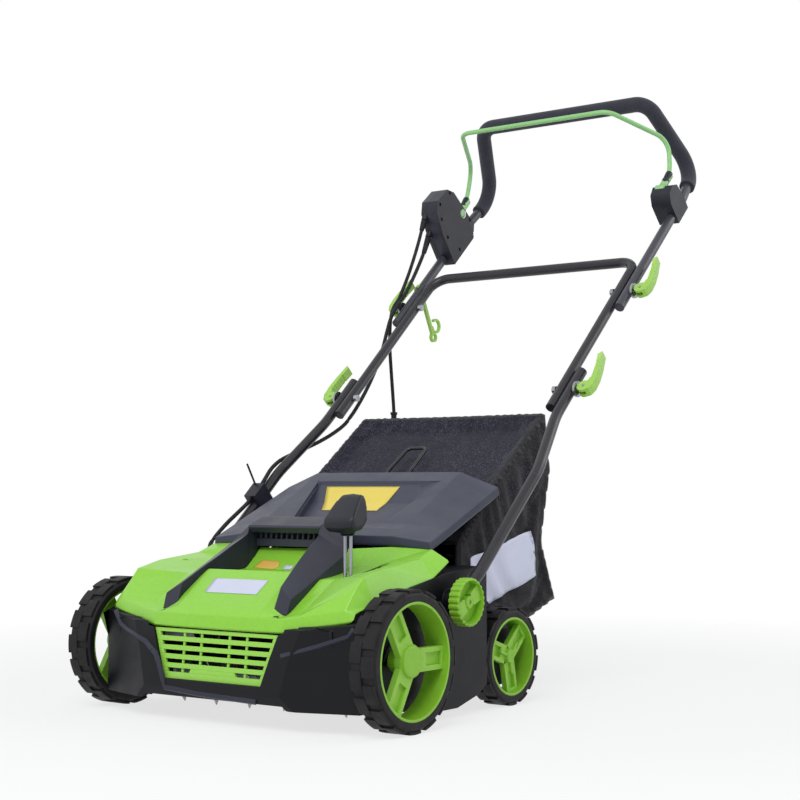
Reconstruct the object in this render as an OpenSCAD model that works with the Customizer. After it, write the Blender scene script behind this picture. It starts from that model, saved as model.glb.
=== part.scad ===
// Electric lawn dethatcher: a two-axle deck with a blade drum, a belt drive, a rear flap,
// a fabric collecting bag and a handle in three sections that folds up in a Z.
// Millimetres. X runs across the machine, Y to the rear, Z up; the front is at low Y.

/* [Wheels] */
// Front wheel diameter over the tread
front_wheel_d = 205; // [190:1:220]
// Front tyre width
front_tyre_w = 43; // [36:1:50]
// Front rim diameter
front_rim_d = 170; // [150:1:175]
// Rear wheel diameter over the tread
rear_wheel_d = 157; // [146:1:166]
// Rear tyre width
rear_tyre_w = 40; // [32:1:46]
// Rear rim diameter
rear_rim_d = 125; // [110:1:130]
// Overall width across the front wheels
overall_w = 607.6; // [600:1:640]
// Width across the rear wheels
rear_track_w = 499; // [492:1:520]
// Distance between the front and rear axles
wheelbase = 343.4; // [335:1:360]
// Wheel axle diameter
axle_d = 12; // [8:0.5:14]
// Height of the tread lugs
lug_h = 3; // [1:0.5:5]

/* [Deck] */
// Width of the deck over its side walls
deck_w = 504; // [490:1:512]
// Wall of the plastic mouldings
wall = 3.5; // [2.5:0.5:5]
// Height of the deck's front lower edge
deck_front_z = 30; // [24:1:40]
// Width of the grille at its top
grille_top_w = 249; // [220:1:256]
// Width of the grille at its bottom
grille_bottom_w = 195; // [170:1:210]
// Thickness of the grille
grille_t = 5; // [3:0.5:6]
// Slot height in the grille
grille_slot_h = 7; // [5:0.5:9]

/* [Blade drum] */
// Height of the drum axis above the ground
drum_z = 57; // [55:1:62]
// Distance from the front axle back to the drum axis
drum_y = 45; // [42:1:50]
// Radius of the blade tips
blade_r = 52; // [44:1:53]
// Number of blades
blade_count = 16; // [8:1:18]
// Thickness of a blade
blade_t = 2; // [1.5:0.5:4]
// Drum shaft diameter
drum_shaft_d = 16; // [12:1:20]
// Half the distance between the bearing plates
plate_x = 209; // [205:1:212]

/* [Drive] */
// Motor axis ahead of the front axle
motor_y = -27; // [-30:1:-24]
// Motor axis height
motor_z = 146; // [142:1:148]
// Motor diameter
motor_d = 66; // [56:1:68]
// Motor length
motor_l = 130; // [100:1:150]
// Motor pulley radius
motor_pulley_r = 10; // [8:0.5:11]
// Drum pulley radius
drum_pulley_r = 24; // [20:0.5:26]
// Belt thickness
belt_t = 3; // [2:0.5:4]
// Belt width
belt_w = 12; // [8:1:14]

/* [Height adjustment] */
// Distance from the front wheel centre back to the crank pivot
crank_y = 20; // [16:1:24]
// Height of the crank pivot above the front wheel centre
crank_z = 25.5; // [22:0.5:28]
// Lever distance from the middle of the machine
lever_x = 165; // [158:1:170]
// Lever length from the pivot to the knob
lever_l = 158; // [150:1:170]

/* [Handle] */
// Diameter of the handle tubes
tube_d = 19; // [16:0.5:22]
// Wall of the handle tubes
tube_wall = 1.2; // [0.8:0.1:2]
// Lean of the handle above the ground
handle_lean = 42.3; // [38:0.5:46]
// Distance from the middle of the machine to the outer tubes' centres
outer_tube_x = 249.5; // [246:0.5:254]
// Gap between the inner and the outer tubes
tube_gap = 0.6; // [0.4:0.1:1.5]
// Distance from the middle of the machine to the lower tubes' feet
foot_x = 276; // [272:1:282]
// Length from the handle knob to the lower fold bolts
lower_run = 506; // [490:1:520]
// Length between the fold bolts
middle_run = 282; // [260:1:300]
// Overlap of the tubes past a fold bolt
tube_overlap = 46; // [36:1:56]
// Length from the upper fold bolts to the crossbar
crossbar_run = 96; // [80:1:110]
// Length from the upper fold bolts to the grip's lower corners
grip_run = 397.5; // [385:0.5:410]
// Rise of the grip bar square to the tubes
grip_rise = 163.5; // [150:0.5:175]
// Half width of the grip bar at its corners
grip_x = 192; // [180:1:205]
// Diameter of the foam grip
foam_d = 30; // [28:0.5:36]
// Diameter of the bail rod
bail_d = 9; // [6:0.5:11]
// Diameter of the handle knobs
knob_d = 74; // [64:1:78]

/* [Bag] */
// Width of the bag
bag_w = 400; // [380:1:404]
// Thickness of the bag's cloth
cloth_t = 2.5; // [2:0.5:4]
// Diameter of the bag's frame wire
wire_d = 6; // [5:0.5:8]

/* [Cables] */
// Diameter of the motor cable
cable_d = 8; // [6:0.5:9]
// Diameter of the plug lead
lead_d = 7; // [6:0.5:8]

/* [Hidden] */
$fn = 48;

// Clearances
run_gap = 0.05;   // a shaft in its bore, on the radius
body_gap = 0.4;   // pieces of different bodies side by side
seat_gap = 0.05;  // pieces of one body that sit in each other

// Front wheels and their cranked axle
front_r = front_wheel_d / 2;
front_out_x = overall_w / 2;
front_in_x = front_out_x - front_tyre_w;
pivot_y = crank_y;
pivot_z = front_r + crank_z;
crank_t = 5;

// Rear wheels
rear_r = rear_wheel_d / 2;
rear_out_x = rear_track_w / 2;
rear_in_x = rear_out_x - rear_tyre_w;

// Deck
side_x = deck_w / 2;
deck_rear_y = 262;
outlet_low_z = 122;
outlet_high_z = 222;
chamber_r = blade_r + 10;
plate_t = 5;
belt_x = -(plate_x + plate_t + 12);
hinge_y = 169;
hinge_z = 277;
hinge_rod_d = 6;
hinge_ear_t = 5;
hinge_ear_xs = [-100, 100];
boss_x = foot_x - 10;
boss_r = 20;

// Handle
tube_r = tube_d / 2;
foam_r = foam_d / 2;
inner_tube_x = outer_tube_x - tube_d - tube_gap;
knob_y = 158;
knob_z = 177;
upper_run = lower_run + middle_run;
tab_t = 8;
tab_x = foot_x - 5.5;
tab_l = 52;
bolt_d = 6;
gooseneck_r = 52;
grip_corner_r = 36;
grip_corner_x = 238;
grip_bar_s = grip_run + 6.9;
bail_s = 265;
bail_t = 48;
bail_x = 234;
bail_r = bail_d / 2;

half_grip = [[outer_tube_x, -tube_overlap, 0], [outer_tube_x, grip_run - 100, 0], [grip_corner_x, grip_run, 0],
    [grip_x, grip_bar_s, grip_rise]];

// The model's origin is under the middle of its length, on the ground
grip_u = (half_grip[1] - half_grip[2]) / norm(half_grip[1] - half_grip[2]);
grip_v = (half_grip[3] - half_grip[2]) / norm(half_grip[3] - half_grip[2]);
grip_c = half_grip[2] + gooseneck_r / sin(acos(grip_u * grip_v) / 2) * (grip_u + grip_v) / norm(grip_u + grip_v);
grip_n = cross(grip_u, grip_v) / norm(cross(grip_u, grip_v));
rearward = [0, cos(handle_lean), -sin(handle_lean)];
rear_reach = knob_y + upper_run * cos(handle_lean) + grip_c * rearward
    + gooseneck_r * norm(cross(grip_n, rearward)) + foam_r;
origin_y = (rear_reach - front_r) / 2;
module placed() translate([0, -origin_y, 0]) children();

// Colours
black = [0.10, 0.10, 0.11];
grey = [0.25, 0.26, 0.31];
green = [0.55, 0.85, 0.30];
rim_green = [0.50, 0.72, 0.20];
lever_green = [0.66, 0.82, 0.42];
steel = [0.75, 0.76, 0.78];

// ---------------------------------------------------------------- helpers
function unit(v) = v / norm(v);
function turn_at(p, i) = 180 - acos(min(1, max(-1, unit(p[i - 1] - p[i]) * unit(p[i + 1] - p[i]))));
function tangent_at(p, r, i) = i == 0 || i == len(p) - 1 ? 0 : r[i] * tan(turn_at(p, i) / 2);

module mirrored() {
    children();
    mirror([1, 0, 0]) children();
}
module side(sign) {
    if (sign > 0) children();
    else mirror([1, 0, 0]) children();
}
module along_x() rotate([0, 90, 0]) children();

// A prism across the machine: the outline is drawn in Y and Z
module across(x0, x1) translate([x0, 0, 0]) rotate([90, 0, 90]) linear_extrude(x1 - x0) children();

// A disc or ring across the machine
module disc_x(x0, x1, r, hole = 0) translate([x0, 0, 0]) along_x() difference() {
    cylinder(h = x1 - x0, r = r);
    if (hole > 0) translate([0, 0, -1]) cylinder(h = x1 - x0 + 2, r = hole);
}
module at_yz(y, z) translate([0, y, z]) children();

module ring(ro, ri = 0) difference() {
    circle(ro);
    if (ri > 0) circle(ri);
}
module straight(a, b, ro, ri = 0) {
    d = unit(b - a);
    translate(a) rotate([0, acos(d.z), atan2(d.y, d.x)]) linear_extrude(norm(b - a)) ring(ro, ri);
}
module bend(a, p, b, r, ro, ri) {
    u = unit(a - p);
    v = unit(b - p);
    turn = 180 - acos(u * v);
    c = p + unit(u + v) * r / cos(turn / 2);
    e1 = unit(p + u * r * tan(turn / 2) - c);
    e2 = -u;
    e3 = cross(e1, e2);
    dip = acos(e3.z);
    az = atan2(e3.y, e3.x);
    spin = atan2(e1 * [-sin(az), cos(az), 0], e1 * [cos(az) * cos(dip), sin(az) * cos(dip), -sin(dip)]);
    translate(c) rotate([0, dip, az]) rotate(spin) rotate_extrude(angle = turn) translate([r, 0]) ring(ro, ri);
}
// A round tube or rod through points, bent round each inner point, with a thin weld at each bend's ends
module tube_run(p, r, ro, ri = 0) {
    for (i = [0 : len(p) - 2]) {
        d = unit(p[i + 1] - p[i]);
        a = p[i] + d * tangent_at(p, r, i);
        b = p[i + 1] - d * tangent_at(p, r, i + 1);
        straight(a + (i > 0 ? 0.3 * d : [0, 0, 0]), b - (i < len(p) - 2 ? 0.3 * d : [0, 0, 0]), ro, ri);
        if (i > 0) straight(a - 0.3 * d, a + 0.7 * d, ro + 0.02, ri - 0.02);
        if (i < len(p) - 2) straight(b - 0.7 * d, b + 0.3 * d, ro + 0.02, ri - 0.02);
    }
    for (i = [1 : len(p) - 2]) bend(p[i - 1], p[i], p[i + 1], r[i], ro, ri);
}
function mirror_x(p) = [for (i = [len(p) - 1 : -1 : 0]) [-p[i].x, p[i].y, p[i].z]];
function reversed(r) = [for (i = [len(r) - 1 : -1 : 0]) r[i]];

// A shell between two grids of points with the same rows and columns
module grid_shell(top, bottom) {
    rows = len(top);
    cols = len(top[0]);
    n = rows * cols;
    points = concat([for (row = top) for (p = row) p], [for (row = bottom) for (p = row) p]);
    function at(i, j) = i * cols + j;
    quads = concat(
        [for (i = [0 : rows - 2]) for (j = [0 : cols - 2])
            [at(i, j), at(i + 1, j), at(i + 1, j + 1), at(i, j + 1)]],
        [for (i = [0 : rows - 2]) for (j = [0 : cols - 2])
            [n + at(i, j), n + at(i, j + 1), n + at(i + 1, j + 1), n + at(i + 1, j)]],
        [for (j = [0 : cols - 2]) [at(0, j), at(0, j + 1), n + at(0, j + 1), n + at(0, j)]],
        [for (j = [0 : cols - 2])
            [at(rows - 1, j + 1), at(rows - 1, j), n + at(rows - 1, j), n + at(rows - 1, j + 1)]],
        [for (i = [0 : rows - 2]) [at(i + 1, 0), at(i, 0), n + at(i, 0), n + at(i + 1, 0)]],
        [for (i = [0 : rows - 2])
            [at(i, cols - 1), at(i + 1, cols - 1), n + at(i + 1, cols - 1), n + at(i, cols - 1)]]);
    polyhedron(points, [for (q = quads) for (t = [[q[0], q[1], q[2]], [q[0], q[2], q[3]]]) t]);
}
// Rows given for the right half, from the middle outwards, made whole
function whole_row(row) = concat([for (i = [len(row) - 1 : -1 : 1]) [-row[i].x, row[i].y, row[i].z]], row);
function whole(rows) = [for (row = rows) whole_row(row)];

// A block between two four-sided ends, each listed in the same turn
module block(a, b) polyhedron(concat(a, b), [
    [2, 1, 0], [3, 2, 0], [4, 5, 6], [4, 6, 7],
    for (i = [0 : 3]) for (t = [[(i + 1) % 4, i + 4, i], [(i + 1) % 4 + 4, i + 4, (i + 1) % 4]]) t]);

// A round cord swept along its route: one ring of points at each route point
module cord(route, d, sides) {
    n = len(route);
    dirs = [for (i = [0 : n - 1]) unit(route[min(i + 1, n - 1)] - route[max(i - 1, 0)])];
    side = [for (t = dirs) unit(cross(t, abs(t.x) < 0.8 ? [1, 0, 0] : [0, 1, 0]))];
    points = [for (i = [0 : n - 1]) for (k = [0 : sides - 1])
        route[i] + d / 2 * (side[i] * cos(360 * k / sides) + cross(dirs[i], side[i]) * sin(360 * k / sides))];
    faces = concat([[for (k = [sides - 1 : -1 : 0]) k]],
        [for (i = [0 : n - 2]) for (k = [0 : sides - 1]) for (t = [
            [i * sides + k, i * sides + (k + 1) % sides, (i + 1) * sides + (k + 1) % sides],
            [i * sides + k, (i + 1) * sides + (k + 1) % sides, (i + 1) * sides + k]]) t],
        [[for (k = [0 : sides - 1]) (n - 1) * sides + k]]);
    polyhedron(points, faces);
}

// The handle's own frame: X across, Y up along the tubes from a fold bolt, Z square to them
module on_handle(run) translate([0, knob_y + run * cos(handle_lean), knob_z + run * sin(handle_lean)])
    rotate([handle_lean, 0, 0]) children();

// ---------------------------------------------------------------- deck
// Side outline of the deck, drawn in Y and Z, taken in by d all round
function deck_outline(d) = [
    [-72 + d, d > 0 ? -20 : 42], [-72 + d, 60], [-84 + d, 150], [-60 + d, 158 - d], [60, 203 - d],
    [150, 220 - d], [deck_rear_y - d, 226 - d], [deck_rear_y - d, d > 0 ? -20 : 44],
    if (d == 0) [236, 28], if (d == 0) [180, 14], if (d == 0) [110, 14], if (d == 0) [-20, 32]];
function front_outline(d) = [
    [-40, d > 0 ? -20 : deck_front_z], [-94 + d, d > 0 ? -20 : deck_front_z], [-101 + d, 50],
    [-97 + d, 100], [-91 + d, 146 - d], [-60, 156 - d], [-40, 156 - d]];
function plan_outline(d) = [
    [-side_x + d, deck_rear_y + 5], [-side_x + d, -64 + d], [-132 + d, -102 + d],
    [132 - d, -102 + d], [side_x - d, -64 + d], [side_x - d, deck_rear_y + 5]];
module deck_solid(d) intersection() {
    union() {
        across(-side_x + d, side_x - d) polygon(deck_outline(d));
        across(-side_x + d, side_x - d) polygon(front_outline(d));
    }
    translate([0, 0, -30]) linear_extrude(300) polygon(plan_outline(d));
}
// What the side plates and the drum hood leave room for
grille_low = [-94.5, 62];
grille_high = [-87.8, 137];
grille_tilt = atan((grille_high[0] - grille_low[0]) / (grille_high[1] - grille_low[1]));
grille_h = norm(grille_high - grille_low);
module on_grille() translate([0, grille_low[0], grille_low[1]]) rotate([90 - grille_tilt, 0, 0]) children();
module grille_outline(grow = 0) polygon([
    [-grille_bottom_w / 2 - grow, -grow], [grille_bottom_w / 2 + grow, -grow],
    [grille_top_w / 2 + grow, grille_h + grow], [-grille_top_w / 2 - grow, grille_h + grow]]);
screw_floor = [138, 199];
module deck_housing() color(black) placed() difference() {
    union() {
        deck_shell();
        // posts the cover's screws go into
        mirrored() for (k = [0, 1]) translate([screw_spots[k].x, screw_spots[k].y, screw_floor[k]])
            cylinder(h = screw_seat[k] - 7 - seat_gap - screw_floor[k], d = 12);
    }
    cover_seat();
    mirrored() for (k = [0, 1]) translate([screw_spots[k].x, screw_spots[k].y, screw_seat[k] - 13])
        cylinder(h = 14, d = 4 + 2 * seat_gap);
}
module deck_shell() difference() {
    union() {
        difference() {
            deck_solid(0);
            deck_solid(wall);
        }
        // bearing plates either side of the drum, also walls of the belt space
        mirrored() difference() {
            across(plate_x, plate_x + plate_t) polygon(plate_outline());
            at_yz(drum_y, drum_z) disc_x(plate_x - 1, plate_x + plate_t + 1, bearing_r + seat_gap);
        }
        // hood over the drum
        at_yz(drum_y, drum_z) intersection() {
            disc_x(-plate_x - 1, plate_x + 1, chamber_r + wall, chamber_r);
            across(-plate_x - 1, plate_x + 1) polygon([[-90, -10], [90, 200], [-90, 200]]);
        }
        // ramp from the drum to the outlet
        across(-plate_x - 1, plate_x + 1) polygon([
            [drum_y + chamber_r + 2, 40], [deck_rear_y - 1, outlet_low_z - 4],
            [deck_rear_y - 1, outlet_low_z - 4 - wall], [drum_y + chamber_r + 2, 40 - wall]]);
        // arms down to the rear axle
        mirrored() across(rear_in_x - 12, rear_in_x - 4) polygon([
            [deck_rear_y - 30, 34], [wheelbase, rear_r - 17], [wheelbase + 17, rear_r],
            [wheelbase, rear_r + 17], [deck_rear_y - 30, outlet_low_z - 10]]);
        // bosses for the handle knobs
        mirrored() at_yz(knob_y, knob_z) disc_x(side_x - 6, boss_x - body_gap, boss_r);
        // ears for the flap's hinge rod
        for (x = hinge_ear_xs) across(x - hinge_ear_t / 2, x + hinge_ear_t / 2) polygon([
            [hinge_y - 4.5, 214], [hinge_y + 16, 216], [hinge_y + 5, hinge_z + 4.5],
            [hinge_y - 4.5, hinge_z + 4.5]]);
        // rim round the grille
        intersection() {
            on_grille() translate([0, 0, -14]) linear_extrude(20) difference() {
                grille_outline(6);
                grille_outline(-6);
            }
            deck_solid(0);
        }
    }
    // outlet at the rear, between the arms' tops and the deck's roof
    across(-plate_x + 4, plate_x - 4) polygon([
        [deck_rear_y - wall - 2, outlet_low_z], [deck_rear_y + 2, outlet_low_z],
        [deck_rear_y + 2, outlet_high_z - 3], [deck_rear_y - wall - 2, outlet_high_z - 3]]);
    // grille opening with its sloping surround
    on_grille() translate([0, 0, -grille_t]) linear_extrude(30) grille_outline(seat_gap);
    on_grille() translate([0, 0, -30]) linear_extrude(40) grille_outline(-6);
    // opening under the cover, for the motor
    translate([0, 0, 150]) linear_extrude(90) polygon([
        [-plate_x + 0.15, -70], [plate_x - 4, -70], [plate_x - 4, 110], [-plate_x + 0.15, 110]]);
    translate([0, 0, 138]) linear_extrude(60) polygon([
        [-150, -80], [-126, -85], [-84, -87], [84, -87], [126, -85], [150, -80], [plate_x - 4, -66],
        [0.15 - plate_x, -66]]);
    // height axle, handle bolts, hinge rod, rear axle
    at_yz(pivot_y, pivot_z) disc_x(-side_x - 1, side_x + 1, axle_d / 2 + run_gap);
    mirrored() at_yz(knob_y, knob_z) disc_x(side_x - 12, boss_x + 1, bolt_d / 2 + seat_gap);
    at_yz(hinge_y, hinge_z) disc_x(-side_x, side_x, hinge_rod_d / 2 + seat_gap);
    // way in for the motor cable
    straight(cable_deck_route[5], cable_deck_route[6], cable_d / 2 + 3 * seat_gap);
    at_yz(wheelbase, rear_r) disc_x(-side_x, side_x, axle_d / 2 + seat_gap);
    // the rear wheels and the knobs' bolts have room in the deck's rear corners
    mirrored() at_yz(wheelbase, rear_r) disc_x(rear_in_x - 3, side_x + 1, rear_r + 4);
    // motor shaft through the belt side's plate
    at_yz(motor_y, motor_z) disc_x(-plate_x - plate_t - 1, -plate_x + 1, motor_pulley_r + 4);
}
bearing_r = 17;
function plate_outline() = [
    [-70, 36], [-20, 34], [110, 18], [180, 18], [236, 32], [deck_rear_y - 2, 48], [deck_rear_y - 2, 222],
    [150, 216], [60, 199], [-60, 152], [-80, 146], [-68, 60]];

module drum_bearings() color(steel) placed() mirrored() at_yz(drum_y, drum_z)
    disc_x(plate_x - 2, plate_x + plate_t + 3, bearing_r, drum_shaft_d / 2 + run_gap);

// Cover over the motor: rows from the front edge to the rear, each from the middle outwards
cover_rows = [
    [[0, -91, 141], [84, -90, 141], [126, -88, 141], [150, -83, 145], [225, -66, 158], [240, -62, 162]],
    [[0, -89, 160], [84, -88, 160], [126, -86, 160], [150, -80, 163], [224, -62, 175], [240, -58, 171]],
    [[0, -80, 170], [84, -80, 170], [120, -72, 163], [150, -64, 170], [226, -40, 205], [242, -36, 178]],
    [[0, -12, 224], [84, -12, 224], [118, 0, 212], [150, 8, 214], [228, -24, 221], [244, -22, 182]],
    [[0, -4, 214], [80, -4, 214], [116, 30, 215], [150, 45, 218], [234, 30, 232], [247, 30, 196]],
    [[0, 60, 221], [76, 60, 221], [112, 106, 227], [148, 122, 232], [228, 116, 242], [250, 116, 212]],
    [[0, 98, 254], [76, 98, 254], [112, 140, 256], [148, 150, 258], [224, 152, 256], [252, 160, 238]]];
function lowered(rows, d) = [for (k = [0 : len(rows) - 1]) [for (p = rows[k])
    [p.x - (abs(p.x) > 230 ? sign(p.x) * d : 0),
     p.y + (p.z < 162 ? d : k == len(rows) - 1 ? 0 : 0.3 * d), p.z - d]]];
lever_slot_y0 = pivot_y - 9;
lever_slot_y1 = 118;
lever_slot_w = 18;
notch_pitch = 16;
screw_d = 7;
screw_spots = [[111, -80], [205, 62]];
screw_seat = [160, 226];
function moved_z(rows, d) = [for (row = rows) [for (p = row) [p.x, p.y, p.z + d]]];
// The cover's wall grown upwards, to be cut from the deck it sits in
seat_drop = wall + 0.3;
function front_strip(near, dz) = [for (p = cover_rows[0])
    [p.x, near ? p.y + seat_drop : (p.x < 130 ? -95 : p.y - 2.2), p.z + dz]];
function side_strip(dz) = [for (row = cover_rows) let (p = row[len(row) - 1])
    [[p.x - 2 * seat_drop, p.y, p.z + dz], [p.x + 0.4, p.y, p.z + dz]]];
module cover_seat() {
    grid_shell(whole(moved_z(cover_rows, 30)), whole(lowered(cover_rows, seat_drop)));
    grid_shell(whole([front_strip(false, 30), front_strip(true, 30)]),
        whole([front_strip(false, -seat_drop), front_strip(true, -seat_drop)]));
    mirrored() grid_shell(side_strip(30), side_strip(-seat_drop));
}
// All that lies under the cover's outer face
module under_cover() grid_shell(whole(moved_z(cover_rows, seat_gap)), whole(moved_z(cover_rows, -60)));
module motor_cover() color(green) placed() difference() {
    union() {
        grid_shell(whole(cover_rows), whole(lowered(cover_rows, wall)));
        intersection() {
            mirrored() for (k = [0, 1]) translate([screw_spots[k].x, screw_spots[k].y, screw_seat[k] - 7])
                cylinder(h = 20, d = screw_d + 7);
            grid_shell(whole(moved_z(cover_rows, -0.6)), whole(moved_z(cover_rows, -60)));
        }
    }
    // slot for the height lever, with its notches
    translate([lever_x - lever_slot_w / 2, lever_slot_y0, 190])
        cube([lever_slot_w, lever_slot_y1 - lever_slot_y0, 52]);
    for (k = [0 : 5]) translate([lever_x + lever_slot_w / 2 - 1, lever_slot_y0 + 4 + k * notch_pitch, 190])
        cube([5, notch_pitch / 2, 60]);
    // recesses for the screws
    mirrored() for (k = [0, 1]) translate([screw_spots[k].x, screw_spots[k].y, screw_seat[k]]) {
        cylinder(h = 20, d = screw_d + 2);
        translate([0, 0, -20]) cylinder(h = 30, d = 4 + 2 * seat_gap);
    }
}
module cover_screws() color(black) placed() mirrored() for (k = [0, 1])
    translate([screw_spots[k].x, screw_spots[k].y, screw_seat[k] - 12 + seat_gap]) {
        cylinder(h = 12, d = 4);
        translate([0, 0, 12]) difference() {
            cylinder(h = 3, d = screw_d);
            translate([-2.5, -0.6, 1.5]) cube([5, 1.2, 2]);
            translate([-0.6, -2.5, 1.5]) cube([1.2, 5, 2]);
        }
    }

slot_rows = 5;
module front_grille() color(green) placed() on_grille() translate([0, 0, -grille_t]) difference() {
    linear_extrude(grille_t) grille_outline();
    for (row = [0 : slot_rows - 1]) {
        z = 8 + row * (grille_h - 14) / slot_rows;
        half = grille_bottom_w / 2 - 9 + (grille_top_w - grille_bottom_w) / 2 * z / grille_h;
        cell = 2 * half / slot_rows;
        for (k = [0 : slot_rows - 1]) if (row > 0 || k != 2) {
            short = row == 0 && (k == 1 || k == 3) ? cell * 0.45 : 0;
            translate([-half + k * cell + (k == 3 ? short : 0) + 1.5, z, -1])
                cube([cell - 3 - short, grille_slot_h, grille_t + 2]);
        }
    }
}

arm_front_x = 96;
arm_foot_w = 28;
bar_y = 64;
bar_z = 290;
module carry_frame() color(grey) placed() difference() {
    carry_solid();
    under_cover();
}
module carry_solid() {
    mirrored() {
        block([[arm_front_x, -72, 163.5], [arm_front_x + arm_foot_w, -70, 163.5],
               [arm_front_x + arm_foot_w - 5, -66, 189], [arm_front_x + 3, -68, 189]], arm_bar);
        block(arm_bar, arm_hood);
        block(arm_hood, [[72, 152, 260], [124, 152, 266], [117, 152, 282], [72, 152, 286]]);
    }
    // grip bar and the hood behind it
    block([[-72, bar_y, bar_z - 20], [72, bar_y, bar_z - 20], [72, bar_y, bar_z], [-72, bar_y, bar_z]],
          [[-72, hood_y, bar_z - 22], [72, hood_y, bar_z - 22], [72, hood_y, bar_z - 1],
           [-72, hood_y, bar_z - 1]]);
    block([[-72, hood_y, 256], [72, hood_y, 256], [72, hood_y, bar_z - 1], [-72, hood_y, bar_z - 1]],
          [[-72, 152, 260], [72, 152, 260], [72, 152, 286], [-72, 152, 286]]);
}
hood_y = bar_y + 35;
arm_bar = [[72, bar_y, 225], [124, bar_y, 221.5], [117, bar_y, bar_z - 6], [72, bar_y, bar_z]];
arm_hood = [[72, hood_y, 256], [124, hood_y, 232], [117, hood_y, bar_z - 7], [72, hood_y, bar_z - 1]];

motor_x0 = -plate_x + 0.3;
module motor_housing() color(steel) placed() at_yz(motor_y, motor_z) difference() {
    union() {
        disc_x(motor_x0, motor_x0 + motor_l, motor_d / 2);
        disc_x(motor_x0 + motor_l, motor_x0 + motor_l + 8, 16);
    }
    disc_x(motor_x0 + 8, motor_x0 + motor_l - 8, motor_d / 2 - 3);
    disc_x(motor_x0 - 1, motor_x0 + motor_l + 10, rotor_shaft_r + run_gap);
}
rotor_shaft_r = 5;
module rotor_shaft() color(steel) placed() at_yz(motor_y, motor_z) {
    disc_x(belt_x - belt_w / 2 - 5, motor_x0 + motor_l + 36, rotor_shaft_r);
    disc_x(motor_x0 + 22, motor_x0 + motor_l - 26, motor_d / 2 - 8);
}
module cooling_fan() color(black) placed() at_yz(motor_y, motor_z) translate([motor_x0 + motor_l + 12, 0, 0]) {
    disc_x(0, 3, 32, rotor_shaft_r + seat_gap);
    disc_x(0, 16, 9, rotor_shaft_r + seat_gap);
    for (k = [0 : 8]) rotate([40 * k, 0, 0]) translate([0, 8, -1]) cube([16, 24, 2]);
}
module pulley(r) difference() {
    union() {
        disc_x(-belt_w / 2, belt_w / 2, r);
        disc_x(-belt_w / 2 - 2, -belt_w / 2, r + 3);
        disc_x(belt_w / 2, belt_w / 2 + 2, r + 3);
    }
    children();
}
module motor_pulley() color(steel) placed() at_yz(motor_y, motor_z) translate([belt_x, 0, 0])
    pulley(motor_pulley_r) disc_x(-20, 20, rotor_shaft_r + seat_gap);
module drum_pulley() color(black) placed() at_yz(drum_y, drum_z) translate([belt_x, 0, 0])
    pulley(drum_pulley_r) disc_x(-20, 20, drum_shaft_d / 2 + seat_gap);

// Outline round both pulleys, r0 at the motor and r1 at the drum, in Y and Z
drive_l = norm([drum_y - motor_y, drum_z - motor_z]);
drive_a = atan2(drum_z - motor_z, drum_y - motor_y);
function arc(c, r, a0, a1, n) = [for (k = [0 : n]) [c, 0] + r * [cos(a0 + (a1 - a0) * k / n),
    sin(a0 + (a1 - a0) * k / n)]];
module belt_outline(r0, r1) {
    b = acos((r0 - r1) / drive_l);
    translate([motor_y, motor_z]) rotate(drive_a)
        polygon(concat(arc(drive_l, r1, -b, b, 24), arc(0, r0, b, 360 - b, 16)));
}
module drive_belt() color(black) placed() across(belt_x - belt_w / 2 + 0.5, belt_x + belt_w / 2 - 0.5)
    difference() {
        belt_outline(motor_pulley_r + 0.3 + belt_t, drum_pulley_r + 0.3 + belt_t);
        belt_outline(motor_pulley_r + 0.3, drum_pulley_r + 0.3);
    }

// ---------------------------------------------------------------- drum
module drum_shaft() color(steel) placed() at_yz(drum_y, drum_z)
    disc_x(belt_x - belt_w / 2 - 3, plate_x + plate_t + 6, drum_shaft_d / 2);
blade_span = 2 * plate_x - 36;
module blade() across(-blade_t / 2, blade_t / 2) difference() {
    union() {
        circle(16);
        for (k = [0 : 2]) rotate(120 * k) polygon([
            [14, -8], [blade_r - 14, -9], [blade_r, 3], [blade_r - 6, 5], [blade_r - 20, 4], [10, 12]]);
    }
    circle(drum_shaft_d / 2 + seat_gap);
}
module drum_blades() color(steel) placed() at_yz(drum_y, drum_z) for (k = [0 : blade_count - 1])
    translate([-blade_span / 2 + blade_span * k / (blade_count - 1), 0, 0])
        rotate([k * 37 - 90, 0, 0]) blade();

// ---------------------------------------------------------------- wheels
module tyre(r, rim_r, w, lugs) {
    along_x() rotate_extrude() polygon([[rim_r + seat_gap, -w / 2], [rim_r + seat_gap, w / 2],
        [r - lug_h - 5, w / 2], [r - lug_h, w / 2 - 4], [r - lug_h, -w / 2 + 4], [r - lug_h - 5, -w / 2]]);
    a = 360 / lugs;
    for (row = [0, 1]) for (k = [0 : lugs - 1]) rotate([a * (k + row / 2), 0, 0])
        along_x() rotate([0, 0, -a * 0.36]) rotate_extrude(angle = a * 0.72)
            translate([r - lug_h - 1, row == 0 ? 0.4 : -w / 2 + 1.5]) square([lug_h + 1, w / 2 - 1.9]);
}
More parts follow.
